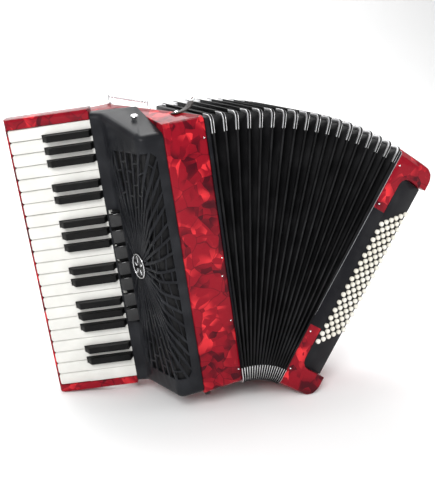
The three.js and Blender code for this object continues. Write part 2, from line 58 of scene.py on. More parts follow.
# --------------------------------------------------------------------------- frames
@dataclass(frozen=True)
class Layout:
    """Sizes that several sub-assemblies share, in millimetres, and the frames they stand in."""

    lean: float = 9.698748
    shift: tuple[float, float, float] = (-8.904708, 98.711300, 53.149692)
    depth: float = 194.0
    casing_w: float = 63.5
    bottom: float = -12.0
    top_front: float = 408.0
    top_back: float = 425.0
    shoulder: float = 396.5
    fall: float = 0.35
    wall: float = 8.0
    fan: float = math.radians(40.2)
    bellows_bottom: float = -9.0
    bellows_top: float = 403.0
    bellows_closed: float = 66.0
    key_turn: float = math.radians(24.7)
    key_root: Point = (-132.2, -81.5)

    def treble(self) -> Matrix:
        """The treble side's frame: u right, y away, l up the keyboard, into the row's metres."""
        return (Matrix.Scale(MM, 4) @ Matrix.Translation(self.shift)
                @ Matrix.Rotation(-math.radians(self.lean), 4, "Y"))

    def apex(self) -> float:
        """Height of the point the bellows fan about."""
        return self.bellows_bottom - self.bellows_closed / self.fan

    def fanned(self, angle: float) -> Matrix:
        """The treble frame turned about the fan's apex.

        Args:
            angle: Turn in radians, 0 at the treble side.

        Returns:
            The frame, in the row's metres.
        """
        up = Matrix.Translation((0, 0, self.apex()))
        return self.treble() @ up @ Matrix.Rotation(angle, 4, "Y") @ up.inverted()

    def bass(self) -> Matrix:
        """The bass side's frame, its x running out from the bellows."""
        return self.fanned(self.fan)

    def keys(self) -> Matrix:
        """A frame with x along a key towards the grille, y into the bed, z up the keyboard."""
        root = Matrix.Translation((*self.key_root, 0))
        return self.treble() @ root @ Matrix.Rotation(-self.key_turn, 4, "Z")

    def key_point(self, x: float, y: float) -> Point:
        """A point of a key's side view, in the treble frame's u and y."""
        c, s = math.cos(self.key_turn), math.sin(self.key_turn)
        return (self.key_root[0] + x * c + y * s, self.key_root[1] - x * s + y * c)

    def top_at(self, u: float, y: float) -> float:
        """Height of the treble casing's top, the lower of its slope and its shoulder.

        Args:
            u: Distance right of the keyboard side's edge, in millimetres.
            y: Depth, in millimetres.

        Returns:
            The height in millimetres.
        """
        forward = (-y - 9) / (self.depth - 18)
        slope = self.top_back + (self.top_front - self.top_back) * forward
        shoulder = self.shoulder + (self.top_front - self.shoulder) * forward - self.fall * u
        return min(slope, shoulder)


LAY = Layout()
YL = Matrix(((0, 0, 1, 0), (1, 0, 0, 0), (0, 1, 0, 0), (0, 0, 0, 1)))  # drawn (y, l), raised in u
FALLING = Matrix(((0, 0, 1, 0), (1, 0, 0, 0), (0, 1, -LAY.fall, 0), (0, 0, 0, 1)))  # and sinking
UL = Matrix(((1, 0, 0, 0), (0, 0, -1, 0), (0, 1, 0, 0), (0, 0, 0, 1)))  # drawn (u, l), raised -y


# --------------------------------------------------------------------------- shader maths
class Signal:
    """A socket of a shader tree that can be written with in ordinary arithmetic."""

    def __init__(self, tree: bpy.types.NodeTree, socket: bpy.types.NodeSocket) -> None:
        """Keeps the tree and one of its output sockets."""
        self.tree = tree
        self.socket = socket

    def _feed(self, target: bpy.types.NodeSocket, value: "Signal | float") -> None:
        """Links a signal to a socket, or sets a plain number on it."""
        if isinstance(value, Signal):
            self.tree.links.new(value.socket, target)
        else:
            target.default_value = value

    def _math(self, operation: str, *others: "Signal | float") -> "Signal":
        """Adds one Math node whose first input is this signal.

        Args:
            operation: The node's operation.
            others: The node's further inputs.

        Returns:
            The result.
        """
        node = self.tree.nodes.new("ShaderNodeMath")
        node.operation = operation
        for target, value in zip(node.inputs, (self, *others)):
            self._feed(target, value)
        return Signal(self.tree, node.outputs[0])

    def __add__(self, other: "Signal | float") -> "Signal":
        """Sum."""
        return self._math("ADD", other)

    def __sub__(self, other: "Signal | float") -> "Signal":
        """Difference."""
        return self._math("SUBTRACT", other)

    def __rsub__(self, other: float) -> "Signal":
        """A number less this signal."""
        return (self * -1.0) + other

    def __mul__(self, other: "Signal | float") -> "Signal":
        """Product."""
        return self._math("MULTIPLY", other)

    __radd__ = __add__
    __rmul__ = __mul__

    def sine(self) -> "Signal":
        """Sine."""
        return self._math("SINE")

    def ramp(self, low: float, high: float, to_low: float = 0.0, to_high: float = 1.0) -> "Signal":
        """Maps a range of the signal smoothly onto another.

        Args:
            low: Where the range starts.
            high: Where it ends.
            to_low: Result at the start.
            to_high: Result at the end.

        Returns:
            The mapped signal.
        """
        node = self.tree.nodes.new("ShaderNodeMapRange")
        node.interpolation_type = "SMOOTHSTEP"
        for name, value in (("Value", self), ("From Min", low), ("From Max", high),
                            ("To Min", to_low), ("To Max", to_high)):
            self._feed(node.inputs[name], value)
        return Signal(self.tree, node.outputs[0])


class Shade:
    """One material being made: its principled shader, its coordinates and its textures."""

    def __init__(self, name: str) -> None:
        """Starts a material with a principled shader.

        Args:
            name: The material's name.
        """
        self.material = bpy.data.materials.new(name)
        self.material.use_nodes = True
        self.tree = self.material.node_tree
        self.shader = self.tree.nodes["Principled BSDF"]
        self.place = Signal(self.tree, self.node("ShaderNodeTexCoord", {}).outputs["Object"])

    def node(self, kind: str, inputs: dict, **settings: object) -> bpy.types.Node:
        """Adds a node.

        Args:
            kind: Its type.
            inputs: Input values or signals, by socket name.
            settings: Its own properties.

        Returns:
            The node.
        """
        made = self.tree.nodes.new(kind)
        for key, value in settings.items():
            setattr(made, key, value)
        for key, value in inputs.items():
            target = made.inputs[key]
            if isinstance(value, Signal):
                self.tree.links.new(value.socket, target)
            else:
                target.default_value = value
        return made

    def stretched(self, scale: Sequence[float], place: Optional[Signal] = None) -> Signal:
        """The object's coordinates, scaled by axis."""
        made = self.node("ShaderNodeMapping", {"Vector": place or self.place,
                                               "Scale": tuple(scale)})
        return Signal(self.tree, made.outputs[0])

    def noise(self, scale: float, detail: float = 3.0, place: Optional[Signal] = None,
              roughness: float = 0.5) -> Signal:
        """A noise value, its grain 1/scale metres."""
        made = self.node("ShaderNodeTexNoise", {"Vector": place or self.place, "Scale": scale,
                                                "Detail": detail, "Roughness": roughness})
        return Signal(self.tree, made.outputs["Fac"])

    def cells(self, scale: float, feature: str, output: str,
              place: Optional[Signal] = None) -> Signal:
        """A Voronoi value."""
        made = self.node("ShaderNodeTexVoronoi", {"Vector": place or self.place, "Scale": scale},
                         feature=feature)
        return Signal(self.tree, made.outputs[output])

    def wave(self, scale: float, axis: str, place: Optional[Signal] = None,
             distortion: float = 0.0) -> Signal:
        """Straight bands along an axis."""
        made = self.node("ShaderNodeTexWave", {"Vector": place or self.place, "Scale": scale,
                                               "Distortion": distortion}, bands_direction=axis)
        return Signal(self.tree, made.outputs["Fac"])

    def vector(self, operation: str, *values: object) -> Signal:
        """A vector maths node over signals or plain vectors.

        Args:
            operation: The node's operation.
            values: Its inputs in order.

        Returns:
            Its result.
        """
        made = self.tree.nodes.new("ShaderNodeVectorMath")
        made.operation = operation
        for target, value in zip(made.inputs, values):
            if isinstance(value, Signal):
                self.tree.links.new(value.socket, target)
            else:
                target.default_value = value
        return Signal(self.tree, made.outputs["Value" if operation in ("DOT_PRODUCT", "LENGTH")
                                              else "Vector"])

    def blend(self, factor: Signal, low: object, high: object) -> Signal:
        """Mixes two colours.

        Args:
            factor: 0 for the first, 1 for the second.
            low: Colour or signal.
            high: Colour or signal.

        Returns:
            The mixed colour.
        """
        made = self.tree.nodes.new("ShaderNodeMix")
        made.data_type = "RGBA"
        self.tree.links.new(factor.socket, made.inputs["Factor"])
        for target, value in ((made.inputs[6], low), (made.inputs[7], high)):
            if isinstance(value, Signal):
                self.tree.links.new(value.socket, target)
            else:
                target.default_value = (*value, 1.0)
        return Signal(self.tree, made.outputs[2])

    def drive(self, name: str, signal: Signal) -> None:
        """Feeds a signal to one of the shader's inputs."""
        self.tree.links.new(signal.socket, self.shader.inputs[name])

    def fix(self, **values: object) -> None:
        """Sets constant shader inputs; underscores stand for spaces."""
        for key, value in values.items():
            target = self.shader.inputs[key.replace("_", " ")]
            target.default_value = (*value, 1.0) if isinstance(value, tuple) else value

    def bump(self, height: Signal, depth: float, strength: float = 1.0) -> None:
        """Presses a height pattern into the surface.

        Args:
            height: The pattern, 0 to 1.
            depth: Its depth in metres.
            strength: How much of it shows.
        """
        made = self.node("ShaderNodeBump", {"Height": height, "Distance": depth,
                                            "Strength": strength})
        self.tree.links.new(made.outputs[0], self.shader.inputs["Normal"])


# --------------------------------------------------------------------------- finishes
class Finish:
    """A surface finish that makes its material once."""

    _made: dict[object, bpy.types.Material] = {}

    def material(self) -> bpy.types.Material:
        """The finish's material, made on first use.

        Returns:
            The material.
        """
        if self not in Finish._made:
            Finish._made[self] = self.build()
        return Finish._made[self]

    def build(self) -> bpy.types.Material:
        """Makes the material."""
        raise NotImplementedError


@dataclass(frozen=True)
class PearlCelluloid(Finish):
    """Red pearl celluloid: flakes of light and dark laid in gloss."""

    deep: tuple = (0.050, 0.0008, 0.005)
    body: tuple = (0.225, 0.003, 0.011)
    light: tuple = (0.68, 0.028, 0.036)
    flake: float = 34.0
    slot: str = "red_celluloid"

    def build(self) -> bpy.types.Material:
        """Makes the material.

        Returns:
            The material.
        """
        s = Shade("red_pearl_celluloid")
        drift = s.node("ShaderNodeTexNoise", {"Vector": s.place, "Scale": 16.0, "Detail": 2.0,
                                              "Roughness": 0.5})
        warp = s.vector("SCALE", Signal(s.tree, drift.outputs["Color"]))
        warp.socket.node.inputs["Scale"].default_value = 0.03
        place = s.vector("ADD", s.place, warp)
        layers = []
        for scale, ripple in ((self.flake, 120.0), (self.flake * 2.3, 300.0)):
            tint = s.node("ShaderNodeTexVoronoi", {"Vector": place, "Scale": scale})
            colour = Signal(s.tree, tint.outputs["Color"])
            aim = s.vector("SUBTRACT", colour, (0.5, 0.5, 0.5))
            along = s.vector("DOT_PRODUCT", aim, place)
            start = s.vector("DOT_PRODUCT", colour, (5.0, 9.0, 13.0))
            layers.append((along * ripple + start).sine() * 0.5 + 0.5)
        flakes = layers[0] * 0.65 + layers[1] * 0.35
        smoke = s.noise(14.0, 3.0, place, 0.5)
        crack = 1 - s.cells(self.flake, "DISTANCE_TO_EDGE", "Distance", place).ramp(0.0, 0.03)
        dark = s.blend(flakes.ramp(0.0, 0.5), self.deep, self.body)
        lit = s.blend(flakes.ramp(0.7, 1.0) * smoke.ramp(0.35, 0.6), dark, self.light)
        s.drive("Base Color", s.blend(crack * smoke.ramp(0.6, 0.45) * 0.7, lit, self.deep))
        s.fix(Roughness=0.45, Coat_Weight=0.4, Coat_Roughness=0.05, Coat_IOR=1.36,
              Specular_IOR_Level=0.03)
        return s.material


@dataclass(frozen=True)
class Moulded(Finish):
    """Moulded plastic or lacquer: a fine orange peel under an even tint."""

    name: str = "satin_black"
    tint: tuple = (0.006, 0.006, 0.008)
    worn: tuple = (0.013, 0.013, 0.015)
    roughness: float = 0.38
    grain: float = 900.0
    relief: float = 0.00003
    coat: float = 0.0
    shine: float = 0.1
    slot: str = "black_grille"

    def build(self) -> bpy.types.Material:
        """Makes the material.

        Returns:
            The material.
        """
        s = Shade(self.name)
        cloud = s.noise(28.0, 4.0)
        s.drive("Base Color", s.blend(cloud.ramp(0.35, 0.75), self.tint, self.worn))
        s.drive("Roughness", cloud * 0.12 + (self.roughness - 0.06))
        s.bump(s.noise(self.grain, 2.0), self.relief)
        s.fix(Coat_Weight=self.coat, Coat_Roughness=0.08, Specular_IOR_Level=self.shine)
        return s.material


@dataclass(frozen=True)
class BellowsCloth(Finish):
    """Black cloth glued to card: a fine weave with soft rubbed patches."""

    tint: tuple = (0.004, 0.004, 0.0045)
    rubbed: tuple = (0.014, 0.014, 0.015)
    slot: str = "bellows_cloth"

    def build(self) -> bpy.types.Material:
        """Makes the material.

        Returns:
            The material.
        """
        s = Shade("bellows_cloth")
        weave = s.wave(620.0, "Z") * s.wave(620.0, "X")
        wear = s.noise(22.0, 5.0).ramp(0.4, 0.8)
        s.drive("Base Color", s.blend(wear, self.tint, self.rubbed))
        s.drive("Roughness", wear * 0.15 + 0.5)
        s.bump(weave * 0.5 + s.noise(140.0, 3.0) * 0.5, 0.00008)
        s.fix(Specular_IOR_Level=0.2)
        return s.material


@dataclass(frozen=True)
class Plated(Finish):
    """Bright plated metal with hairline marks."""

    name: str = "bright_plate"
    tint: tuple = (0.82, 0.82, 0.84)
    roughness: float = 0.2
    slot: str = "chrome"

    def build(self) -> bpy.types.Material:
        """Makes the material.

        Returns:
            The material.
        """
        s = Shade(self.name)
        hair = s.noise(240.0, 2.0, s.stretched((1.0, 1.0, 14.0)))
        s.drive("Roughness", hair * 0.16 + (self.roughness - 0.08))
        s.drive("Base Color", s.blend(hair.ramp(0.3, 0.9), self.tint,
                                      tuple(c * 0.86 for c in self.tint)))
        s.bump(hair, 0.00001)
        s.fix(Metallic=1.0)
        return s.material


@dataclass(frozen=True)
class Leather(Finish):
    """Grained leather, rubbed paler on its high spots."""

    name: str = "strap_leather"
    tint: tuple = (0.018, 0.012, 0.010)
    rubbed: tuple = (0.060, 0.036, 0.024)
    slot: str = "strap_leather"

    def build(self) -> bpy.types.Material:
        """Makes the material.

        Returns:
            The material.
        """
        s = Shade(self.name)
        grain = s.cells(900.0, "DISTANCE_TO_EDGE", "Distance").ramp(0.0, 0.35)
        wear = s.noise(35.0, 4.0).ramp(0.45, 0.75)
        s.drive("Base Color", s.blend(wear, self.tint, self.rubbed))
        s.drive("Roughness", wear * -0.12 + 0.52)
        s.bump(grain * 0.8 + s.noise(60.0) * 0.2, 0.00022)
        return s.material


@dataclass(frozen=True)
class Timber(Finish):
    """Bare wood with its grain along the keyboard."""

    tint: tuple = (0.48, 0.28, 0.12)
    late: tuple = (0.26, 0.13, 0.05)
    slot: str = "reed_wood"

    def build(self) -> bpy.types.Material:
        """Makes the material.

        Returns:
            The material.
        """
        s = Shade("bare_wood")
        rings = s.wave(42.0, "X", s.stretched((1.0, 1.0, 0.12)), 5.0)
        s.drive("Base Color", s.blend(rings.ramp(0.2, 0.9), self.tint, self.late))
        s.bump(rings, 0.0001)
        s.fix(Roughness=0.6)
        return s.material


RED = PearlCelluloid()
BLACK = Moulded()
GRILLE_BLACK = Moulded("grille_black", (0.010, 0.0105, 0.0125), (0.020, 0.021, 0.024), 0.36, 700.0)
EBONY = Moulded("ebony_key", (0.004, 0.004, 0.004), (0.009, 0.009, 0.009), 0.34, 400.0,
                slot="black_keys")
IVORY = Moulded("ivory_key", (0.64, 0.635, 0.60), (0.71, 0.705, 0.67), 0.22, 300.0, 0.00001,
                0.5, 0.5, "white_keys")
CREAM = Moulded("cream_button", (0.70, 0.67, 0.58), (0.78, 0.76, 0.69), 0.26, 500.0, 0.00001,
                0.4, 0.5, "bass_buttons")
GLOSS = Moulded("gloss_black", (0.003, 0.003, 0.0035), (0.006, 0.006, 0.007), 0.18, 300.0,
                0.00001, 0.0, 0.45, "register_tabs")
RUBBER = Moulded("foot_rubber", (0.02, 0.02, 0.02), (0.05, 0.05, 0.05), 0.75, 500.0, 0.00012)
CLOTH = BellowsCloth()
TAPE = Moulded("ridge_tape", (0.004, 0.004, 0.0045), (0.012, 0.012, 0.013), 0.5, 500.0,
               0.00005, slot="bellows_cloth")
SILVER = Plated()
CAP_PLATE = Plated("corner_cap_plate", (0.92, 0.92, 0.93), 0.42)
STEEL = Plated("ground_steel", (0.55, 0.56, 0.58), 0.32, "steel")
LEATHER = Leather()
SUEDE = Leather("strap_suede", (0.10, 0.085, 0.07), (0.17, 0.145, 0.12))
THREAD = Moulded("waxed_thread", (0.42, 0.38, 0.30), (0.55, 0.50, 0.41), 0.6, 2600.0, 0.00008,
                 slot="strap_leather")
WOOD = Timber()


# --------------------------------------------------------------------------- meshes
class Body(str, Enum):
    """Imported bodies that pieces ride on."""

    TREBLE = "treble"
    BASS = "bass"
    WHEEL = "strap_wheel"


class Mould:
    """Makes plain meshes and turns them into finished pieces."""

    @staticmethod
    def raised(outline: Sequence[Point], z0: float, z1: float) -> bmesh.types.BMesh:
        """A flat outline given thickness.

        Args:
            outline: Corners in order.
            z0: Lower face.
            z1: Upper face.

        Returns:
            The closed solid.
        """
        return Mould.loft([[(x, y, z) for x, y in outline] for z in (z0, z1)])

    @staticmethod
    def loft(loops: Sequence[Sequence[Sequence[float]]], caps: bool = True,
             round_trip: bool = False) -> bmesh.types.BMesh:
        """Skins a run of loops with equal counts.

        Args:
            loops: The loops in order.
            caps: Whether the first and last are closed with a face.
            round_trip: Whether the last loop joins the first.

        Returns:
            The mesh.
        """
        bm = bmesh.new()
        rows = [[bm.verts.new(p) for p in loop] for loop in loops]
        pairs = list(zip(rows, rows[1:] + rows[:1])) if round_trip else list(zip(rows, rows[1:]))
        for low, high in pairs:
            for i in range(len(low)):
                j = (i + 1) % len(low)
                bm.faces.new((low[i], low[j], high[j], high[i]))
        if caps and not round_trip:
            bm.faces.new(rows[0][::-1])
            bm.faces.new(rows[-1])
        return bm

    @staticmethod
    def turned(profile: Sequence[Point], sides: int = 24) -> bmesh.types.BMesh:
        """A solid of revolution about Z.

        Args:
            profile: (radius, height) from one end to the other.
            sides: Steps round.

        Returns:
            The closed solid.
        """
        loops = [[(r * math.cos(TAU * i / sides), r * math.sin(TAU * i / sides), z)
                  for i in range(sides)] for r, z in profile]
        return Mould.loft(loops)

    @staticmethod
    def swept(path: Sequence[Vector], across: Callable[[int], Sequence[Point]],
              up: Vector, closed: bool = False) -> bmesh.types.BMesh:
        """Carries a section along a path.

        Args:
            path: Points in order.
            across: Gives the section at a step as (side, up) pairs.
            up: The direction kept as the section's up.
            closed: Whether the path returns to its start.

        Returns:
            The mesh, its ends closed when the path is open.
        """
        loops = []
        count = len(path)
        for i, p in enumerate(path):
            ahead = path[(i + 1) % count] if closed or i + 1 < count else p
            behind = path[i - 1] if closed or i else p
            along = (ahead - behind).normalized()
            side = along.cross(up).normalized()
            rise = side.cross(along)
            loops.append([tuple(p + side * a + rise * b) for a, b in across(i)])
        return Mould.loft(loops, not closed, closed)

    @staticmethod
    def piece(bm: bmesh.types.BMesh, name: str, place: Matrix, finish: Finish,
              bevel: float = 0.0, segments: int = 2, angle: float = 30.0,
              thickness: float = 0.0, outward: bool = True) -> bpy.types.Object:
        """Turns a mesh into a finished piece at the origin.

        Args:
            bm: The mesh, in the place's millimetres. It is freed.
            name: The piece's name.
            place: Frame that the mesh is drawn in.
            finish: Its finish.
            bevel: Edge rounding in millimetres, 0 for none.
            segments: Steps of the rounding.
            angle: Edges sharper than this are rounded and shaded sharp.
            thickness: Wall given to an open sheet, inwards, in millimetres.
            outward: Whether faces are turned to point outwards.

        Returns:
            The piece.
        """
        if outward:
            bmesh.ops.recalc_face_normals(bm, faces=bm.faces)
        mesh = bpy.data.meshes.new(name)
        bm.to_mesh(mesh)
        bm.free()
        mesh.transform(place)
        if place.determinant() < 0:
            mesh.flip_normals()
        obj = bpy.data.objects.new(name, mesh)
        bpy.context.scene.collection.objects.link(obj)
        mesh.materials.append(finish.material())
        if thickness:
            solid = obj.modifiers.new("wall", "SOLIDIFY")
            solid.thickness, solid.offset = thickness * MM, -1.0
            solid.use_even_offset = True
        if bevel:
            soft = obj.modifiers.new("edges", "BEVEL")
            soft.width, soft.segments = bevel * MM, segments
            soft.limit_method, soft.angle_limit = "ANGLE", math.radians(angle)
        return Mould.baked(obj, angle + 5)

    @staticmethod
    def baked(obj: bpy.types.Object, angle: float = 35.0) -> bpy.types.Object:
        """Applies an object's modifiers and smooths its shading up to an angle.

        Args:
            obj: The object.
            angle: Edges sharper than this stay sharp.

        Returns:
            The same object.
        """
        if obj.modifiers:
            graph = bpy.context.evaluated_depsgraph_get()
            mesh = bpy.data.meshes.new_from_object(obj.evaluated_get(graph))
            obj.modifiers.clear()
            old, obj.data = obj.data, mesh
            bpy.data.meshes.remove(old)
            obj.data.name = obj.name
        obj.data.shade_smooth()
        obj.data.set_sharp_from_angle(angle=math.radians(angle))
        return obj

    @staticmethod
    def polished(node: str, finish: Finish, bevel: float, body: str, segments: int = 2,
                 angle: float = 28.0) -> bpy.types.Object:
        """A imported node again, with its edges eased.

        Args:
            node: The node's name.
            finish: Its finish.
            bevel: Edge rounding in millimetres.
            body: Body that it rides on.
            segments: Steps of the rounding.
            angle: Edges sharper than this are rounded.

        Returns:
            The piece, standing for the node.
        """
        bm = bmesh.new()
        bm.from_mesh(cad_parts[node].data)
        bmesh.ops.remove_doubles(bm, verts=bm.verts, dist=2e-5)
        bmesh.ops.dissolve_limit(bm, angle_limit=math.radians(0.6), verts=bm.verts,
                                 edges=bm.edges)
        obj = Mould.piece(bm, node + "_finished", Matrix.Identity(4), finish, bevel, segments,
                          angle, outward=False)
        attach(obj, body)
        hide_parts(node)
        return obj

    @staticmethod
    def arc(cx: float, cy: float, r: float, start: float, end: float, steps: int) -> list[Point]:
        """Points of an arc, angles in degrees."""
        return [(cx + r * math.cos(math.radians(start + (end - start) * i / steps)),
                 cy + r * math.sin(math.radians(start + (end - start) * i / steps)))
                for i in range(steps + 1)]

    @staticmethod
    def flat_box(x0: float, x1: float, y0: float, y1: float) -> list[Point]:
        """The four corners of a rectangle."""
        return [(x0, y0), (x1, y0), (x1, y1), (x0, y1)]

    @staticmethod
    def rounded(x0: float, x1: float, y0: float, y1: float, r: float, steps: int = 5
                ) -> list[Point]:
        """A rectangle with round corners.

        Args:
            x0: Left side.
            x1: Right side.
            y0: Bottom.
            y1: Top.
            r: Corner radius.
            steps: Steps in each corner.

        Returns:
            Its points, anticlockwise.
        """
        points: list[Point] = []
        for cx, cy, a in ((x1 - r, y1 - r, 0), (x0 + r, y1 - r, 90), (x0 + r, y0 + r, 180),
                          (x1 - r, y0 + r, 270)):
            points += Mould.arc(cx, cy, r, a, a + 90, steps)
        return points


# --------------------------------------------------------------------------- geometry nodes
class Pattern:
    """A geometry nodes tree made once and used on many meshes."""

    def __init__(self, name: str, inputs: dict[str, str]) -> None:
        """Starts a tree.

        Args:
            name: The tree's name.
            inputs: Socket type of each named input, after the geometry.
        """
        self.tree = bpy.data.node_groups.new(name, "GeometryNodeTree")
        self.tree.interface.new_socket("Geometry", in_out="INPUT",
                                       socket_type="NodeSocketGeometry")
        self.keys = {key: self.tree.interface.new_socket(key, in_out="INPUT", socket_type=kind)
                     .identifier for key, kind in inputs.items()}
        self.tree.interface.new_socket("Geometry", in_out="OUTPUT",
                                       socket_type="NodeSocketGeometry")
        self.start = self.tree.nodes.new("NodeGroupInput")
        self.end = self.tree.nodes.new("NodeGroupOutput")

    def node(self, kind: str, links: dict[str, object], **settings: object) -> bpy.types.Node:
        """Adds a node.

        Args:
            kind: Its type.
            links: For each input socket, an output socket to link or a value to set.
            settings: The node's own properties.

        Returns:
            The node.
        """
        made = self.tree.nodes.new(kind)
        for key, value in settings.items():
            setattr(made, key, value)
        for key, value in links.items():
            target = made.inputs[key]
            if isinstance(value, bpy.types.NodeSocket):
                self.tree.links.new(value, target)
            else:
                target.default_value = value
        return made

    def close(self, instances: bpy.types.NodeSocket) -> None:
        """Ends the tree in Realize Instances and Set Material.

        Args:
            instances: The copies that the tree has made.
        """
        real = self.node("GeometryNodeRealizeInstances", {"Geometry": instances})
        made = self.node("GeometryNodeSetMaterial", {
            "Geometry": real.outputs[0], "Material": self.start.outputs["Material"]})
        self.tree.links.new(made.outputs[0], self.end.inputs[0])

    def apply(self, seed: bpy.types.Object, finish: Finish, angle: float = 35.0,
              **values: object) -> bpy.types.Object:
        """Runs the tree on an object and keeps the result as its mesh.

        Args:
            seed: Object whose mesh the tree starts from.
            finish: Finish given to the result.
            angle: Shading angle of the result.
            values: Inputs by name, underscores for spaces.

        Returns:
            The same object with its new mesh.
        """
        step = seed.modifiers.new("pattern", "NODES")
        step.node_group = self.tree
        step[self.keys["Material"]] = finish.material()
        for key, value in values.items():
            step[self.keys[key.replace("_", " ")]] = value
        return Mould.baked(seed, angle)


class Copies(Pattern):
    """Sets a copy of one shape on every vertex, turned to the vertex normal."""

    def __init__(self) -> None:
        """Builds the tree."""
        super().__init__("copies_on_points", {
            "Shape": "NodeSocketObject", "Scale": "NodeSocketFloat",
            "Material": "NodeSocketMaterial"})
        shape = self.node("GeometryNodeObjectInfo", {"Object": self.start.outputs["Shape"]})
        normal = self.node("GeometryNodeInputNamedAttribute", {"Name": "aim"},
                           data_type="FLOAT_VECTOR")
        turn = self.node("FunctionNodeAlignRotationToVector", {
            "Vector": normal.outputs["Attribute"]}, axis="Z")
        spots = self.node("GeometryNodeInstanceOnPoints", {
            "Points": self.start.outputs["Geometry"], "Instance": shape.outputs["Geometry"],
            "Rotation": turn.outputs[0], "Scale": self.start.outputs["Scale"]})
        self.close(spots.outputs[0])

    def scatter(self, name: str, spots: Iterable[tuple[Vector, Vector]], shape: bpy.types.Object,
                finish: Finish, scale: float = 1.0) -> bpy.types.Object:
        """Places copies.

        Args:
            name: Name of the piece they become.
            spots: Position in metres and facing direction of each copy.
            shape: The shape, in metres about the origin, facing +Z.
            finish: Their finish.
            scale: Size factor.

        Returns:
            One piece holding all copies.
        """
        spots = list(spots)
        mesh = bpy.data.meshes.new(name)
        mesh.from_pydata([tuple(p) for p, _ in spots], [], [])
        aim = mesh.attributes.new("aim", "FLOAT_VECTOR", "POINT")
        aim.data.foreach_set("vector", [c for _, n in spots for c in n])
        obj = bpy.data.objects.new(name, mesh)
        bpy.context.scene.collection.objects.link(obj)
        return self.apply(obj, finish, Shape=shape, Scale=scale)


class Studs(Pattern):
    """A slanting grid of domed studs, each a short barrel under a dome."""

    def __init__(self) -> None:
        """Builds the tree: a grid, sheared row by row, with a dome on every point."""
        super().__init__("button_field", {
            "Rows": "NodeSocketInt", "Columns": "NodeSocketInt", "Row Step": "NodeSocketFloat",
            "Pitch": "NodeSocketFloat", "Shape": "NodeSocketObject",
            "Material": "NodeSocketMaterial"})
        out = self.start.outputs

        def scaled(a: bpy.types.NodeSocket, b: bpy.types.NodeSocket) -> bpy.types.NodeSocket:
            """Length of a run of (a - 1) steps of b."""
            less = self.node("ShaderNodeMath", {0: a, 1: 1.0}, operation="SUBTRACT")
            return self.node("ShaderNodeMath", {0: less.outputs[0], 1: b},
                             operation="MULTIPLY").outputs[0]

        grid = self.node("GeometryNodeMeshGrid", {
            "Size X": scaled(out["Rows"], out["Row Step"]),
            "Size Y": scaled(out["Columns"], out["Pitch"]),
            "Vertices X": out["Rows"], "Vertices Y": out["Columns"]})
        here = self.node("GeometryNodeInputPosition", {})
        split = self.node("ShaderNodeSeparateXYZ", {0: here.outputs[0]})
        row = self.node("ShaderNodeMath", {0: split.outputs[0], 1: out["Row Step"]},
                        operation="DIVIDE")
        half = self.node("ShaderNodeMath", {0: out["Pitch"], 1: 0.5}, operation="MULTIPLY")
        slide = self.node("ShaderNodeMath", {0: row.outputs[0], 1: half.outputs[0]},
                          operation="MULTIPLY")
        move = self.node("ShaderNodeCombineXYZ", {1: slide.outputs[0]})
        sheared = self.node("GeometryNodeSetPosition", {
            "Geometry": grid.outputs[0], "Offset": move.outputs[0]})
        shape = self.node("GeometryNodeObjectInfo", {"Object": out["Shape"]})
        spots = self.node("GeometryNodeInstanceOnPoints", {
            "Points": sheared.outputs[0], "Instance": shape.outputs["Geometry"]})
        self.close(spots.outputs[0])


class Kit:
    """Small shapes and patterns shared by the sub-assemblies."""

    def __init__(self) -> None:
        """Makes the patterns and the loose shapes they copy."""
        self.copies = Copies()
        self.studs = Studs()
        self.loose: list[bpy.types.Object] = []

    def shape(self, bm: bmesh.types.BMesh, name: str, bevel: float = 0.0) -> bpy.types.Object:
        """A loose shape in metres about the origin, thrown away at the end.

        Args:
            bm: The shape in millimetres. It is freed.
            name: Its name.
            bevel: Edge rounding in millimetres.

        Returns:
            The loose shape.
        """
        obj = Mould.piece(bm, name, Matrix.Scale(MM, 4), SILVER, bevel)
        self.loose.append(obj)
        return obj

    def screw(self, r: float = 2.3) -> bpy.types.Object:
        """A domed screw head with a cross slot."""
        bm = Mould.turned([(r, -1.0), (r, 0.1), (r * 0.92, 0.5), (r * 0.7, 0.85),
                           (r * 0.3, 1.02), (0.02, 1.05)], 16)
        return self.shape(bm, "screw_shape")

    def clear(self) -> None:
        """Removes the loose shapes."""
        for obj in self.loose:
            bpy.data.objects.remove(obj, do_unlink=True)
        self.loose.clear()


def place_on(matrix: Matrix, p: Sequence[float], n: Sequence[float]) -> tuple[Vector, Vector]:
    """A point and a direction of a millimetre frame, in metres of the row."""
    turn = matrix.to_3x3().normalized()
    return matrix @ Vector(p), turn @ Vector(n)


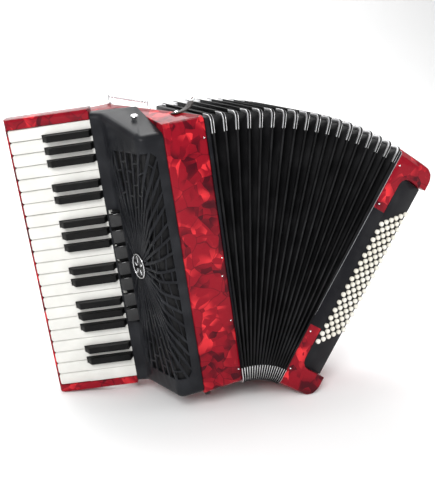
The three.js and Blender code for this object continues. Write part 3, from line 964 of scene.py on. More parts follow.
# --------------------------------------------------------------------------- stage
@dataclass
class Stage:
    """Floor, lights and the camera."""

    eye: tuple = (-485.4, -1384.72, 621.76)
    right: tuple = (0.90154359, -0.40920644, -0.14060316)
    up: tuple = (0.24881173, 0.22443369, 0.94219013)
    back: tuple = (-0.35399419, -0.88440918, 0.30415212)
    focal: float = 912.19
    frame_px: float = 435.0

    def camera(self) -> None:
        """The view of the whole instrument from its keyboard side."""
        data = bpy.data.cameras.new("camera")
        data.sensor_fit, data.sensor_width = "HORIZONTAL", 36.0
        data.lens = self.focal / self.frame_px * 36.0
        data.clip_start, data.clip_end = 0.05, 50.0
        obj = bpy.data.objects.new("camera", data)
        turn = LAY.treble().to_3x3().normalized()
        axes = [turn @ Vector(a) for a in (self.right, self.up, self.back)]
        obj.matrix_world = Matrix.Translation(LAY.treble() @ Vector(self.eye)) @ Matrix(
            axes).transposed().to_4x4()
        bpy.context.scene.collection.objects.link(obj)
        bpy.context.scene.camera = obj

    def light(self, name: str, at: tuple, aim: tuple, size: float, watts: float) -> None:
        """One soft square light.

        Args:
            name: The light's name.
            at: Where it hangs, in metres.
            aim: Where it points.
            size: Length of its side.
            watts: Its power.
        """
        data = bpy.data.lights.new(name, "AREA")
        data.shape, data.size, data.energy = "SQUARE", size, watts
        obj = bpy.data.objects.new(name, data)
        toward = (Vector(aim) - Vector(at)).to_track_quat("-Z", "Y")
        obj.matrix_world = Matrix.Translation(at) @ toward.to_matrix().to_4x4()
        bpy.context.scene.collection.objects.link(obj)

    def sweep(self) -> None:
        """A pale floor that curves up into a backdrop."""
        line = [(-9.0, 0.0), (3.0, 0.0)]
        line += [(3.0 + 2.5 * math.sin(a), 2.5 * (1 - math.cos(a)))
                 for a in (k / 12 * TAU / 4 for k in range(1, 13))]
        line.append((5.5, 9.0))
        bm = bmesh.new()
        rows = [[bm.verts.new((x, y, z - 0.0004)) for y, z in line] for x in (-12, 12)]
        for i in range(len(line) - 1):
            bm.faces.new((rows[0][i], rows[1][i], rows[1][i + 1], rows[0][i + 1]))
        mesh = bpy.data.meshes.new("backdrop")
        bm.to_mesh(mesh)
        bm.free()
        mesh.shade_smooth()
        obj = bpy.data.objects.new("backdrop", mesh)
        bpy.context.scene.collection.objects.link(obj)
        s = Shade("pale_backdrop")
        s.drive("Base Color", s.blend(s.noise(3.0), (0.93, 0.93, 0.93), (0.95, 0.95, 0.95)))
        s.fix(Roughness=0.95, Specular_IOR_Level=0.0)
        mesh.materials.append(s.material)

    def build(self) -> None:
        """Sets the whole stage."""
        world = bpy.data.worlds.new("studio")
        world.use_nodes = True
        sky = world.node_tree.nodes["Background"]
        sky.inputs["Color"].default_value = (1, 1, 1, 1)
        sky.inputs["Strength"].default_value = 0.5
        bpy.context.scene.world = world
        bpy.context.scene.view_settings.view_transform = "Standard"
        self.sweep()
        self.light("key_light", (-1.7, -2.4, 1.9), (0, 0, 0.22), 1.2, 84)
        self.light("fill_light", (2.4, -1.9, 1.2), (0, 0, 0.22), 1.6, 26)
        self.light("top_light", (0.3, 0.3, 2.6), (0, 0, 0.3), 0.7, 9)
        self.light("floor_light", (0.0, 3.2, 3.4), (0, 3.6, 0.6), 3.5, 165)
        self.camera()


# --------------------------------------------------------------------------- keyboard
@dataclass
class Keyboard:
    """Keys, their bed and the rod they turn on."""

    whites: int = 22
    blacks: int = 15
    ease: float = 0.7

    def build(self, kit: Kit) -> None:
        """Finishes every key, the bed and the rod.

        Args:
            kit: Shared shapes and patterns.
        """
        for kind, count, finish in (("white", self.whites, IVORY), ("black", self.blacks, EBONY)):
            for n in range(1, count + 1):
                name = f"{kind}_key_{n:02d}"
                Mould.polished(name, finish, self.ease if kind == "white" else 1.3, name, 3)
        log.info("keyboard: %d keys", self.whites + self.blacks)
        Mould.polished("keyboard_bed", RED, 1.4, Body.TREBLE, 3)
        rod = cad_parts["key_axle"]
        rod.data.materials.clear()
        rod.data.materials.append(STEEL.material())


# --------------------------------------------------------------------------- treble side
@dataclass
class Casing:
    """The treble casing with its pins and feet."""

    pins: tuple = ((-4, 377), (-4, 195), (-8, 167), (-5, 94), (-4, 12))
    bed_back: float = 30.3
    board: float = 6.0

    def build(self, kit: Kit) -> None:
        """Finishes the casing and sets its pins and feet.

        Args:
            kit: Shared shapes and patterns.
        """
        shell = self.shell()
        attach(shell, Body.TREBLE)
        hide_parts("treble_casing")
        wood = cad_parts["treble_reed_block"]
        wood.data.materials.clear()
        wood.data.materials.append(WOOD.material())
        base = LAY.treble()
        head = kit.screw(1.5)
        spots = [place_on(base, (u, -LAY.depth, l), (0, -1, 0)) for u, l in self.pins]
        spots += [place_on(base, (u, 0, l), (0, 1, 0)) for u, l in self.pins]
        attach(kit.copies.scatter("casing_pins", spots, head, SILVER), Body.TREBLE)
        self.foot()

    def block(self, name: str, inset: float, corner: float) -> bpy.types.Object:
        """The casing's solid shape, or its hollow: plan, end view and shoulder in common.

        Args:
            name: A name for the shape.
            inset: How far it lies inside the casing's outside, 0 for the outside itself.
            corner: Radius of its end view's corners.

        Returns:
            The shape, not yet linked to a body.
        """
        back = self.bed_back + inset
        wall = -LAY.casing_w + (self.board if inset else 0.0)
        across = (wall - LAY.key_root[0] - back * math.sin(LAY.key_turn)) / math.cos(LAY.key_turn)
        edge = 20.0 if inset else 0.0
        corner_in = 4.0 if inset else 0.0
        plan = [(edge, -LAY.depth + inset), (edge, -inset), (-118 + inset * 0.5, -inset),
                (-132 + corner_in * 2, -9 - inset), LAY.key_point(-14 + corner_in, back),
                LAY.key_point(across, back), (wall, -LAY.depth + inset)]
        low, high = LAY.bottom - 1, LAY.top_back + 1
        shape = Mould.piece(Mould.raised(plan, low, high), name, LAY.treble(), RED)
        for frame_in, top in ((YL, LAY.top_back), (FALLING, LAY.shoulder)):
            view = end_view(-LAY.depth + inset, -inset, LAY.bottom + inset if frame_in is YL
                            else -LAY.depth, LAY.top_front - inset, top - inset, corner, 8)
            cutter = Mould.piece(Mould.raised(view, -200, 50), name + "_view",
                                 LAY.treble() @ frame_in, RED)
            self.cut(shape, cutter, "INTERSECT")
        return shape

    @staticmethod
    def cut(shape: bpy.types.Object, cutter: bpy.types.Object, how: str) -> None:
        """Combines a shape with another, which is used up.

        Args:
            shape: The shape that changes.
            cutter: The other shape.
            how: The boolean operation.
        """
        step = shape.modifiers.new("cut", "BOOLEAN")
        step.operation, step.object, step.solver = how, cutter, "EXACT"
        Mould.baked(shape)
        bpy.data.objects.remove(cutter, do_unlink=True)

    def shell(self) -> bpy.types.Object:
        """The casing: its outside less its hollow, open to the bellows, all edges eased.

        Returns:
            The shell, not yet riding on a body.
        """
        shell = self.block("treble_casing_finished", 0.0, 9.0)
        self.cut(shell, self.block("hollow", LAY.wall, 4.0), "DIFFERENCE")
        bm = bmesh.new()
        bm.from_mesh(shell.data)
        bmesh.ops.remove_doubles(bm, verts=bm.verts, dist=2e-5)
        bmesh.ops.dissolve_limit(bm, angle_limit=math.radians(0.6), verts=bm.verts,
                                 edges=bm.edges)
        bpy.data.objects.remove(shell, do_unlink=True)
        return Mould.piece(bm, "treble_casing_finished", Matrix.Identity(4), RED, 1.5, 3, 26.0,
                           outward=False)

    def foot(self) -> None:
        """A rubber foot under the casing's front."""
        bm = Mould.turned([(5.0, 1.0), (5.0, -2.2), (4.2, -3.4), (0.02, -3.6)], 20)
        at = Matrix.Translation((-57.0, -LAY.depth + 9, LAY.bottom))
        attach(Mould.piece(bm, "casing_foot", LAY.treble() @ at, RUBBER), Body.TREBLE)


def end_view(front: float, back: float, low: float, top_front: float, top_back: float,
             r: float, steps: int = 6) -> list[Point]:
    """A casing seen along the bellows: a rounded box whose top may slope to the front.

    Args:
        front: Front face.
        back: Back face.
        low: Bottom.
        top_front: Top over the front edge.
        top_back: Top over the back edge.
        r: Corner radius.
        steps: Steps in each corner.

    Returns:
        (y, l) points.
    """
    arc = Mould.arc
    return (arc(back - r, top_back - r, r, 0, 90, steps)
            + arc(front + r, top_front - r, r, 90, 180, steps)
            + arc(front + r, low + r, r, 180, 270, steps)
            + arc(back - r, low + r, r, 270, 360, steps))


@dataclass
class Grille:
    """The pierced cover over the pallets, with its web, medallion and tabs."""

    lip: Point = (-1.5, -3.2)
    ledge_to: Point = (-121.0, -92.0)
    side_to: Point = (-104.5, -176.0)
    front_from: Point = (-91.0, -190.0)
    front_y: float = -191.5
    hem: float = 17.4
    bottom: float = -9.6
    top_max: float = 427.4
    slope: tuple = ((-87.5, 426.6), (-188.0, 398.0))
    ease: float = 9.0
    wall: float = 2.4
    web: tuple = (8.0, 115.0, 22.0, 372.0)
    centre: Point = (36.0, 195.5)
    across: tuple = (6, 15, 6, 9)
    rings: tuple = (0.30, 0.42, 0.53, 0.64, 0.74, 0.84, 0.92)
    rib: float = 4.2
    hub: float = 0.1
    window: tuple = (2.5, 4.0, 95.0, 279.0)
    join: float = 5.0
    registers: int = 7
    path: list = field(default_factory=list)
    marks: list = field(default_factory=list)

    def __post_init__(self) -> None:
        """Lays out the cross-section from the lip over the ledge and round to the red strip."""
        lip = Vector(LAY.key_point(*self.lip))
        ridge = Vector(self.ledge_to)
        side, front = Vector(self.side_to), Vector(self.front_from)
        back = ridge + (lip - ridge).normalized() * 5
        ahead = ridge + (side - ridge).normalized() * 5
        turn = [back * (1 - t) ** 2 + ridge * 2 * t * (1 - t) + ahead * t ** 2
                for t in (k / 5 for k in range(6))]
        bend = [Vector((side.x + (front.x - side.x) * (1 - math.cos(a)),
                        side.y + (front.y - side.y) * math.sin(a)))
                for a in (k / 8 * TAU / 4 for k in range(9))]
        end = Vector((-LAY.casing_w - 0.3, self.front_y))
        self.path = [lip, *turn, *bend, end]
        self.marks = [0.0]
        for a, b in zip(self.path, self.path[1:]):
            self.marks.append(self.marks[-1] + (b - a).length)

    def ridge(self) -> float:
        """Length from the lip to the start of the flat side."""
        return self.marks[6]

    def at(self, s: float, depth: float = 0.0) -> Vector:
        """A point of the cross-section.

        Args:
            s: Length from the lip.
            depth: Distance inwards.

        Returns:
            The point's u and y.
        """
        s = max(0.0, min(self.marks[-1], s))
        i = max(k for k in range(len(self.path) - 1) if self.marks[k] <= s + 1e-6)
        f = (s - self.marks[i]) / (self.marks[i + 1] - self.marks[i])
        inward = self.inward(i).lerp(self.inward(i + 1), f).normalized()
        return self.path[i].lerp(self.path[i + 1], f) + inward * depth

    def inward(self, i: int) -> Vector:
        """Inward direction at a corner of the cross-section.

        Args:
            i: Index of the corner.

        Returns:
            A unit direction.
        """
        a, b = self.path[max(0, i - 1)], self.path[min(len(self.path) - 1, i + 1)]
        d = (b - a).normalized()
        return Vector((-d.y, d.x))

    def top(self, y: float) -> float:
        """Height of the sloping top over a depth."""
        (y0, l0), (y1, l1) = self.slope
        return min(self.top_max, l0 + (l1 - l0) * (y - y0) / (y1 - y0))

    def rim(self) -> tuple[list[Point], list[int]]:
        """Where the spokes meet the web's rim, and the side that each is on.

        Returns:
            The ends of the spokes, and the side of each.
        """
        s0, s1, l0, l1 = self.web
        s0, s1 = s0 + self.ridge(), s1 + self.ridge()
        top, right, low, left = self.across
        ends: list[Point] = []
        sides: list[int] = []
        runs = ((right, (s1, l0), (s1, l1)), (top, (s1, l1), (s0, l1)),
                (left, (s0, l1), (s0, l0)), (low, (s0, l0), (s1, l0)))
        for side, (count, a, b) in enumerate(runs):
            for k in range(count):
                f = (k + 0.5) / count
                f += 0.07 * math.sin(k * 2.4 + side) / count
                ends.append((a[0] + (b[0] - a[0]) * f, a[1] + (b[1] - a[1]) * f))
                sides.append(side)
        return ends, sides

    def flat_web(self, bm: bmesh.types.BMesh) -> None:
        """Draws the pierced panel flat, as (length, height) with its slots left out.

        Args:
            bm: Mesh that it is drawn in.
        """
        ends, sides = self.rim()
        count = len(ends)
        c = Vector((self.centre[0] + self.ridge(), self.centre[1]))
        lines: list[tuple[float, float, int]] = [(self.hub, 0.0, -1)]
        for k, ring in enumerate(self.rings):
            lines += [(ring, -1.25, k), (ring, 1.25, k)]
        lines.append((1.0, 0.0, -2))
        grid: list[list[bmesh.types.BMVert]] = []
        for i, end in enumerate(ends):
            b = Vector(end)
            ray = b - c
            along, side = ray.normalized(), Vector((-ray.y, ray.x)).normalized()
            near = min((Vector(ends[(i + 1) % count]) - b).length,
                       (Vector(ends[i - 1]) - b).length)
            for sign in (-1, 1):
                column = []
                for ring, shift, mark in lines:
                    half = min(self.rib / 2, 0.30 * near * ring)
                    wander = 0.05 * math.sin(i * 1.9 + mark) if mark >= 0 else 0.0
                    p = c + ray * (ring + wander * (1 - ring)) + along * shift
                    if mark == -2:
                        edge = Vector((0, 1)) if sides[i] in (0, 2) else Vector((1, 0))
                        p = b + edge * half * (1 if edge.dot(side) > 0 else -1) * sign
                    else:
                        p += side * half * sign
                    column.append(bm.verts.new((p.x, p.y, 0)))
                grid.append(column)
        for i in range(len(grid)):
            j = (i + 1) % len(grid)
            for k in range(len(lines) - 1):
                rung = lines[k][2] == lines[k + 1][2] >= 0 and (lines[k][2] + i // 2) % 2 == 0
                if i % 2 == 0 or rung:
                    bm.faces.new((grid[i][k], grid[j][k], grid[j][k + 1], grid[i][k + 1]))
        bm.faces.new([column[0] for column in grid])
        self.flat_surround(bm, [column[-1] for column in grid], sides)

    def flat_surround(self, bm: bmesh.types.BMesh, rim: list, sides: list[int]) -> None:
        """Draws the plain border from the web's rim to the panel's own edges.

        Args:
            bm: Mesh that it is drawn in.
            rim: Vertices of the web's rim in order.
            sides: Side of the rim that each spoke ends on.
        """
        s0, s1, _, _ = self.web
        join, end = self.ridge() + self.join, self.marks[-1]
        low = self.bottom + self.ease

        def high(s: float) -> float:
            """Top of the flat drawing over a length."""
            return self.top(self.at(s).y) - self.ease

        outer = []
        for n, v in enumerate(rim):
            f = (v.co.x - self.ridge() - s0) / (s1 - s0)
            across = join + (end - join) * f
            side = sides[n // 2]
            spot = ((end, v.co.y), (across, high(across)), (join, v.co.y), (across, low))[side]
            outer.append(bm.verts.new((*spot, 0)))
        corners = {(0, 1): (end, high(end)), (1, 2): (join, high(join)), (2, 3): (join, low),
                   (3, 0): (end, low)}
        for i in range(len(rim)):
            j = (i + 1) % len(rim)
            face = [rim[i], rim[j], outer[j], outer[i]]
            pair = (sides[i // 2], sides[j // 2])
            if pair[0] != pair[1]:
                face.insert(3, bm.verts.new((*corners[pair], 0)))
            bm.faces.new(face)

    def flat_ledge(self, bm: bmesh.types.BMesh) -> None:
        """Draws the ledge with the long window that the tabs rock in.

        Args:
            bm: Mesh that it is drawn in.
        """
        a, b, c, d = self.window
        join = self.ridge() + self.join
        columns = [0.0, a, b + self.ridge(), join]
        rows = [self.bottom + self.ease, c, d, None]
        grid = [[bm.verts.new((s, self.top(self.at(s).y) - self.ease if l is None else l, 0))
                 for s in columns] for l in rows]
        for i in range(3):
            for j in range(3):
                if (i, j) != (1, 1):
                    bm.faces.new((grid[i][j], grid[i][j + 1], grid[i + 1][j + 1],
                                  grid[i + 1][j]))

    def skin(self) -> bmesh.types.BMesh:
        """The whole cover as a sheet: drawn flat, rounded over its ends and wrapped.

        Returns:
            The sheet, without its thickness.
        """
        bm = bmesh.new()
        self.flat_web(bm)
        self.flat_ledge(bm)
        for mark in self.marks[1:-1]:
            bmesh.ops.bisect_plane(bm, geom=bm.verts[:] + bm.edges[:] + bm.faces[:],
                                   plane_co=(mark, 0, 0), plane_no=(1, 0, 0), dist=1e-4)
        bmesh.ops.remove_doubles(bm, verts=bm.verts, dist=1e-3)
        for end in (1, -1):
            self.round_over(bm, end)
        for v in bm.verts:
            if v.co.z < 900:
                p = self.at(v.co.x, v.co.z)
                v.co = Vector((p.x, p.y, v.co.y))
            else:
                v.co.z -= 1000
        return bm

    def round_over(self, bm: bmesh.types.BMesh, end: int) -> None:
        """Turns one end of the sheet over into an end wall.

        Args:
            bm: The flat drawing; a vertex's z is its depth.
            end: 1 for the top, -1 for the bottom.
        """
        def edge_at(s: float) -> float:
            """Height of this end before its rounding."""
            return (self.top(self.at(s).y) - self.ease if end > 0
                    else self.bottom + self.ease)

        row = [e for e in bm.edges if e.is_boundary
               and all(abs(v.co.y - edge_at(v.co.x)) < 2.0 for v in e.verts)]
        for v in dict.fromkeys(v for e in row for v in e.verts):
            v.co.y = edge_at(v.co.x)
        steps = 5
        for k in range(1, steps + 1):
            a = k / steps * TAU / 4
            made = bmesh.ops.extrude_edge_only(bm, edges=row)["geom"]
            fresh = [g for g in made if isinstance(g, bmesh.types.BMVert)]
            row = [g for g in made if isinstance(g, bmesh.types.BMEdge)]
            for v in fresh:
                v.co.y = edge_at(v.co.x) + end * self.ease * math.sin(a)
                v.co.z = self.ease * (1 - math.cos(a))
        loop = sorted(dict.fromkeys(v for e in row for v in e.verts), key=lambda v: v.co.x)
        face_x = -LAY.casing_w - 0.3
        c, s = math.cos(LAY.key_turn), math.sin(LAY.key_turn)
        far = (face_x - LAY.key_root[0] - self.hem * s) / c
        tail = []
        for x in (far, -1.5):
            u, y = LAY.key_point(x, self.hem)
            tail.append(bm.verts.new((u, y, 1000 + (self.top(y) if end > 0 else self.bottom))))
        bm.faces.new([*loop, *tail])

    def medallion(self) -> None:
        """A plain round badge with a pale ring and a relief of leaves at the web's centre."""
        s = self.centre[0] + self.ridge()
        here, inward = self.at(s), (self.at(s, 1.0) - self.at(s)).normalized()
        z = Vector((-inward.x, -inward.y, 0))
        x = Vector((0, 0, 1)).cross(z)
        m = Matrix(((x.x, 0, z.x, here.x), (x.y, 0, z.y, here.y), (0, 1, 0, self.centre[1]),
                    (0, 0, 0, 1)))
        place = LAY.treble() @ m @ Matrix.Diagonal((1.3, 1.58, 1.0, 1.0))
        disc = Mould.turned([(13.4, -2.0), (13.4, 1.2), (12.9, 1.7), (0.02, 2.1)], 40)
        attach(Mould.piece(disc, "medallion_disc", place, GLOSS), Body.TREBLE)
        ring = [[((r + dr * math.cos(b)) * math.cos(a), (r + dr * math.cos(b)) * math.sin(a),
                  1.9 + 0.45 * math.sin(b)) for b in (TAU * k / 8 for k in range(8))]
                for r, dr in ((12.0, 0.7),) for a in (TAU * n / 48 for n in range(48))]
        joined = Mould.loft(ring, False, True)
        for n in range(5):
            turn = TAU * n / 5 + 0.3
            c, d = math.cos(turn), math.sin(turn)
            leaf = [(2.2, 0.0), (5.0, 1.5), (8.0, 1.1), (10.2, 0.0), (8.0, -1.1), (5.0, -1.5)]
            flat = [(px * c - py * d, px * d + py * c) for px, py in leaf]
            part = Mould.raised(flat, 1.8, 2.5)
            mesh = bpy.data.meshes.new("leaf")
            part.to_mesh(mesh)
            part.free()
            joined.from_mesh(mesh)
            bpy.data.meshes.remove(mesh)
        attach(Mould.piece(joined, "medallion_relief", place, SILVER, 0.2), Body.TREBLE)

    def backing(self) -> None:
        """Black cloth hung behind the web."""
        marks = [1.0 + k * 4.0 for k in range(40)]
        marks = [s for s in marks if s < self.marks[-1] - 3]
        loops = []
        for depth in (5.0, 5.6):
            line = [self.at(s, depth) for s in marks]
            loops.append([(p.x, p.y, self.bottom + 4) for p in line])
            loops.append([(p.x, p.y, self.top(p.y) - 6) for p in line])
        order = [loops[0], loops[1], loops[3], loops[2]]
        bm = bmesh.new()
        rows = [[bm.verts.new(p) for p in loop] for loop in order]
        for k in range(4):
            a, b = rows[k], rows[(k + 1) % 4]
            for i in range(len(a) - 1):
                bm.faces.new((a[i], a[i + 1], b[i + 1], b[i]))
        for i in (0, -1):
            bm.faces.new([r[i] for r in rows])
        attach(Mould.piece(bm, "grille_cloth", LAY.treble(), CLOTH), Body.TREBLE)

    def build(self, kit: Kit) -> None:
        """Makes the cover, its medallion and its tabs.

        Args:
            kit: Shared shapes and patterns.
        """
        for n in range(1, self.registers + 1):
            name = f"register_tab_{n}"
            Mould.polished(name, GLOSS, 1.6, name, 3)
        cover = Mould.piece(self.skin(), "grille_cover", LAY.treble(), GRILLE_BLACK, 0.45, 2, 40,
                            self.wall)
        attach(cover, Body.TREBLE)
        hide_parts("treble_grille")
        self.backing()
        self.medallion()
        knob = Mould.turned([(3.2, -1.0), (3.2, 1.6), (5.2, 2.4), (5.4, 4.4), (4.6, 5.6),
                             (2.4, 6.2), (0.02, 6.3)], 24)
        tilt = Matrix.Rotation(math.atan2(self.slope[0][1] - self.slope[1][1],
                                          self.slope[0][0] - self.slope[1][0]), 4, "X")
        at = Matrix.Translation((-82.0, -132.0, self.top(-132.0)))
        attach(Mould.piece(knob, "grille_knob", LAY.treble() @ at @ tilt, SILVER), Body.TREBLE)


# --------------------------------------------------------------------------- bellows
@dataclass
class Bellows:
    """Eighteen pleats, each two leaves of cloth-covered card under a taped ridge."""

    sections: int = 6
    pleats: int = 3
    fold: float = 18.0
    card: float = 1.1
    pinch: float = 15.0
    reach: float = 330.0
    cap: float = 17.0

    def pair(self, section: int) -> tuple[str, str]:
        """The two bodies that a section joins.

        Args:
            section: Number of the section from the treble side, from 0.

        Returns:
            The names of the bodies before and after it.
        """
        a = Body.TREBLE.value if section == 0 else f"bellows_{section}"
        b = Body.BASS.value if section == self.sections - 1 else f"bellows_{section + 1}"
        return a, b

    @staticmethod
    def unsmooth(w: float) -> float:
        """Where along a smooth step the weight w is reached."""
        return 0.5 - math.sin(math.asin(1 - 2 * w) / 3)

    def outline(self, inset: float, soft: float) -> list[Point]:
        """One loop of the wall: (y, l) with cut corners.

        Args:
            inset: Distance in from the ridges.
            soft: How far each corner is cut.

        Returns:
            The loop's points.
        """
        y0, y1 = -LAY.depth + inset, -inset
        l0, l1 = LAY.bellows_bottom + inset, LAY.bellows_top - inset
        points: list[Point] = []
        corners = [(y1, l1, 0, -1, -1, 0), (y0, l1, 1, 0, 0, -1), (y0, l0, 0, 1, 1, 0),
                   (y1, l0, -1, 0, 0, 1)]
        for i, (y, l, ay, al, by, bl) in enumerate(corners):
            a = (y + ay * soft, l + al * soft)
            b = (y + by * soft, l + bl * soft)
            mid = ((a[0] + b[0]) / 2 * 0.6 + y * 0.4, (a[1] + b[1]) / 2 * 0.6 + l * 0.4)
            points += [a, mid, b]
            ny, nl, cy, cl, *_ = corners[(i + 1) % 4]
            end = (ny + cy * soft, nl + cl * soft)
            steps = 10 if i % 2 else 6
            points += [(b[0] + (end[0] - b[0]) * k / steps, b[1] + (end[1] - b[1]) * k / steps)
                       for k in range(1, steps)]
        return points

    def follow(self, obj: bpy.types.Object, ridge: float, w_ridge: float,
               valley: Optional[float] = None, w_valley: float = 0.0) -> None:
        """Bakes a piece's transform into its mesh; the fold with its section is worked out but not
        applied.

        Args:
            obj: The piece.
            ridge: Fan angle of its ridge.
            w_ridge: Share of the section's turn at the ridge.
            valley: Fan angle of its valley, none for a piece on the ridge alone.
            w_valley: Share of the turn at the valley.
        """
        plane = LAY.fanned(ridge)
        out = plane.to_3x3().normalized() @ Vector((1, 0, 0))
        t_ridge = self.unsmooth(w_ridge)
        length = 0.4
        if valley is not None:
            span = self.reach * math.sin(valley - ridge) * MM
            length = span / (self.unsmooth(w_valley) - t_ridge)
        start = plane @ Vector((0, -LAY.depth / 2, 200)) - out * length * t_ridge
        start + out * length
        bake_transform(obj)

    def leaf(self, name: str, ridge: float, valley: float) -> bpy.types.Object:
        """One leaf, from its ridge to its valley, as a thin closed band.

        Args:
            name: The piece's name.
            ridge: Fan angle of its ridge.
            valley: Fan angle of its valley.

        Returns:
            The leaf.
        """
        steps = 4
        faces: list[list[list[tuple]]] = [[], []]
        for i in range(steps + 1):
            f = i / steps
            bow = math.sin(math.pi * f) * 0.06
            angle = ridge + (valley - ridge) * (f - bow * (1 - f))
            edge = self.outline(self.fold * f, 3.0 + self.pinch * f)
            m = LAY.fanned(angle)
            inner = self.outline(self.fold * f + self.card, 3.0 + self.pinch * f)
            faces[0].append([tuple(m @ Vector((0, y, l)) / MM) for y, l in edge])
            faces[1].append([tuple(m @ Vector((0, y, l)) / MM) for y, l in inner])
        bm = Mould.loft(faces[0] + faces[1][::-1], False, True)
        return Mould.piece(bm, name, Matrix.Scale(MM, 4), CLOTH, angle=40)

    def trim(self, name: str, angle: float, corner_only: bool) -> bpy.types.Object:
        """Tape round a ridge, or the four metal caps on its corners.

        Args:
            name: The piece's name.
            angle: Fan angle of the ridge.
            corner_only: Whether it is the caps and not the tape.

        Returns:
            The trim.
        """
        soft = 5.0
        y0, y1 = -LAY.depth, 0.0
        l0, l1 = LAY.bellows_bottom, LAY.bellows_top
        arcs = [(y1 - soft, l1 - soft, 0), (y0 + soft, l1 - soft, 90),
                (y0 + soft, l0 + soft, 180), (y1 - soft, l0 + soft, 270)]
        m = LAY.fanned(angle)
        up = (m.to_3x3().normalized() @ Vector((1, 0, 0)))
        joined = bmesh.new()
        runs: list[list[Point]] = []
        if corner_only:
            for cy, cl, a in arcs:
                ca, sa = math.cos(math.radians(a)), math.sin(math.radians(a))
                arc = Mould.arc(cy, cl, soft, a, a + 90, 5)
                first = (arc[0][0] + sa * self.cap, arc[0][1] - ca * self.cap)
                last = (arc[-1][0] - ca * self.cap, arc[-1][1] - sa * self.cap)
                runs.append([first, *arc, last])
        else:
            run: list[Point] = []
            for cy, cl, a in arcs:
                run += Mould.arc(cy, cl, soft, a, a + 90, 4)
            runs.append(run)
        reach, thick = (4.6, 2.1) if corner_only else (5.2, 1.25)
        proud = 0.7 if corner_only else 0.3
        section = [(-proud, -thick * 0.45), (-proud, thick * 0.45), (reach * 0.3, thick),
                   (reach, thick * 1.15), (reach, -thick * 1.15), (reach * 0.3, -thick)]
        for run in runs:
            path = [m @ Vector((0, y, l)) / MM for y, l in run]
            part = Mould.swept(path, lambda i: section, up, not corner_only)
            mesh = bpy.data.meshes.new("part")
            part.to_mesh(mesh)
            part.free()
            joined.from_mesh(mesh)
            bpy.data.meshes.remove(mesh)
        finish = CAP_PLATE if corner_only else TAPE
        return Mould.piece(joined, name, Matrix.Scale(MM, 4), finish, 0.3 if corner_only else 0,
                           2, 40)

    def end_frame(self, name: str, low: float, high: float, body: str, finish: Finish,
                  inset: Point) -> None:
        """A wooden frame that closes an end of the bellows.

        Args:
            name: Its name.
            low: Fan angle of its one face.
            high: Fan angle of the other.
            body: Body that it rides on.
            finish: Its finish.
            inset: Distances in from the ridges of its outer and inner edges.
        """
        loops = []
        for angle, edge in ((low, inset[0]), (high, inset[0]), (high, inset[1]),
                            (low, inset[1])):
            ring = end_view(-LAY.depth + edge, -edge, LAY.bellows_bottom + edge,
                            LAY.bellows_top - edge, LAY.bellows_top - edge, 6)
            m = LAY.fanned(angle)
            loops.append([tuple(m @ Vector((0, y, l)) / MM) for y, l in ring])
        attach(Mould.piece(Mould.loft(loops, False, True), name, Matrix.Scale(MM, 4), finish,
                            0.2), body)

    def build(self, kit: Kit) -> None:
        """Makes the end frames and all leaves and trims, and bakes each leaf and trim in place.

        Args:
            kit: Shared shapes and patterns.
        """
        step = LAY.fan / (self.sections * self.pleats * 2)
        self.end_frame("bellows_frame_treble", 0.03 * step, 0.62 * step, Body.TREBLE, BLACK,
                       (-2.2, 5.5))
        self.end_frame("bellows_frame_bass", LAY.fan - 0.62 * step, LAY.fan - 0.16 * step,
                       Body.BASS, BLACK, (-1.6, 5.5))
        self.end_frame("bellows_bead_bass", LAY.fan - 0.12 * step, LAY.fan - 0.04 * step,
                       Body.BASS, STEEL, (-1.7, 5.5))
        for s in range(self.sections):
            for p in range(self.pleats):
                n = s * self.pleats + p
                ridge = (2 * n + 1) * step
                w = (p + 0.5) / self.pleats
                for side, label in ((-1, "near"), (1, "far")):
                    valley = ridge + side * step
                    wv = w + side * 0.5 / self.pleats
                    obj = self.leaf(f"leaf_{n + 1:02d}_{label}", ridge, valley)
                    self.follow(obj, ridge, w, valley, min(1.0, max(0.0, wv)))
                    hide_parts(f"bellows_section_{s + 1}")
                for corner_only, label in ((False, "tape"), (True, "corners")):
                    obj = self.trim(f"ridge_{n + 1:02d}_{label}", ridge, corner_only)
                    self.follow(obj, ridge, w)
        log.info("bellows: %d pleats", self.sections * self.pleats)


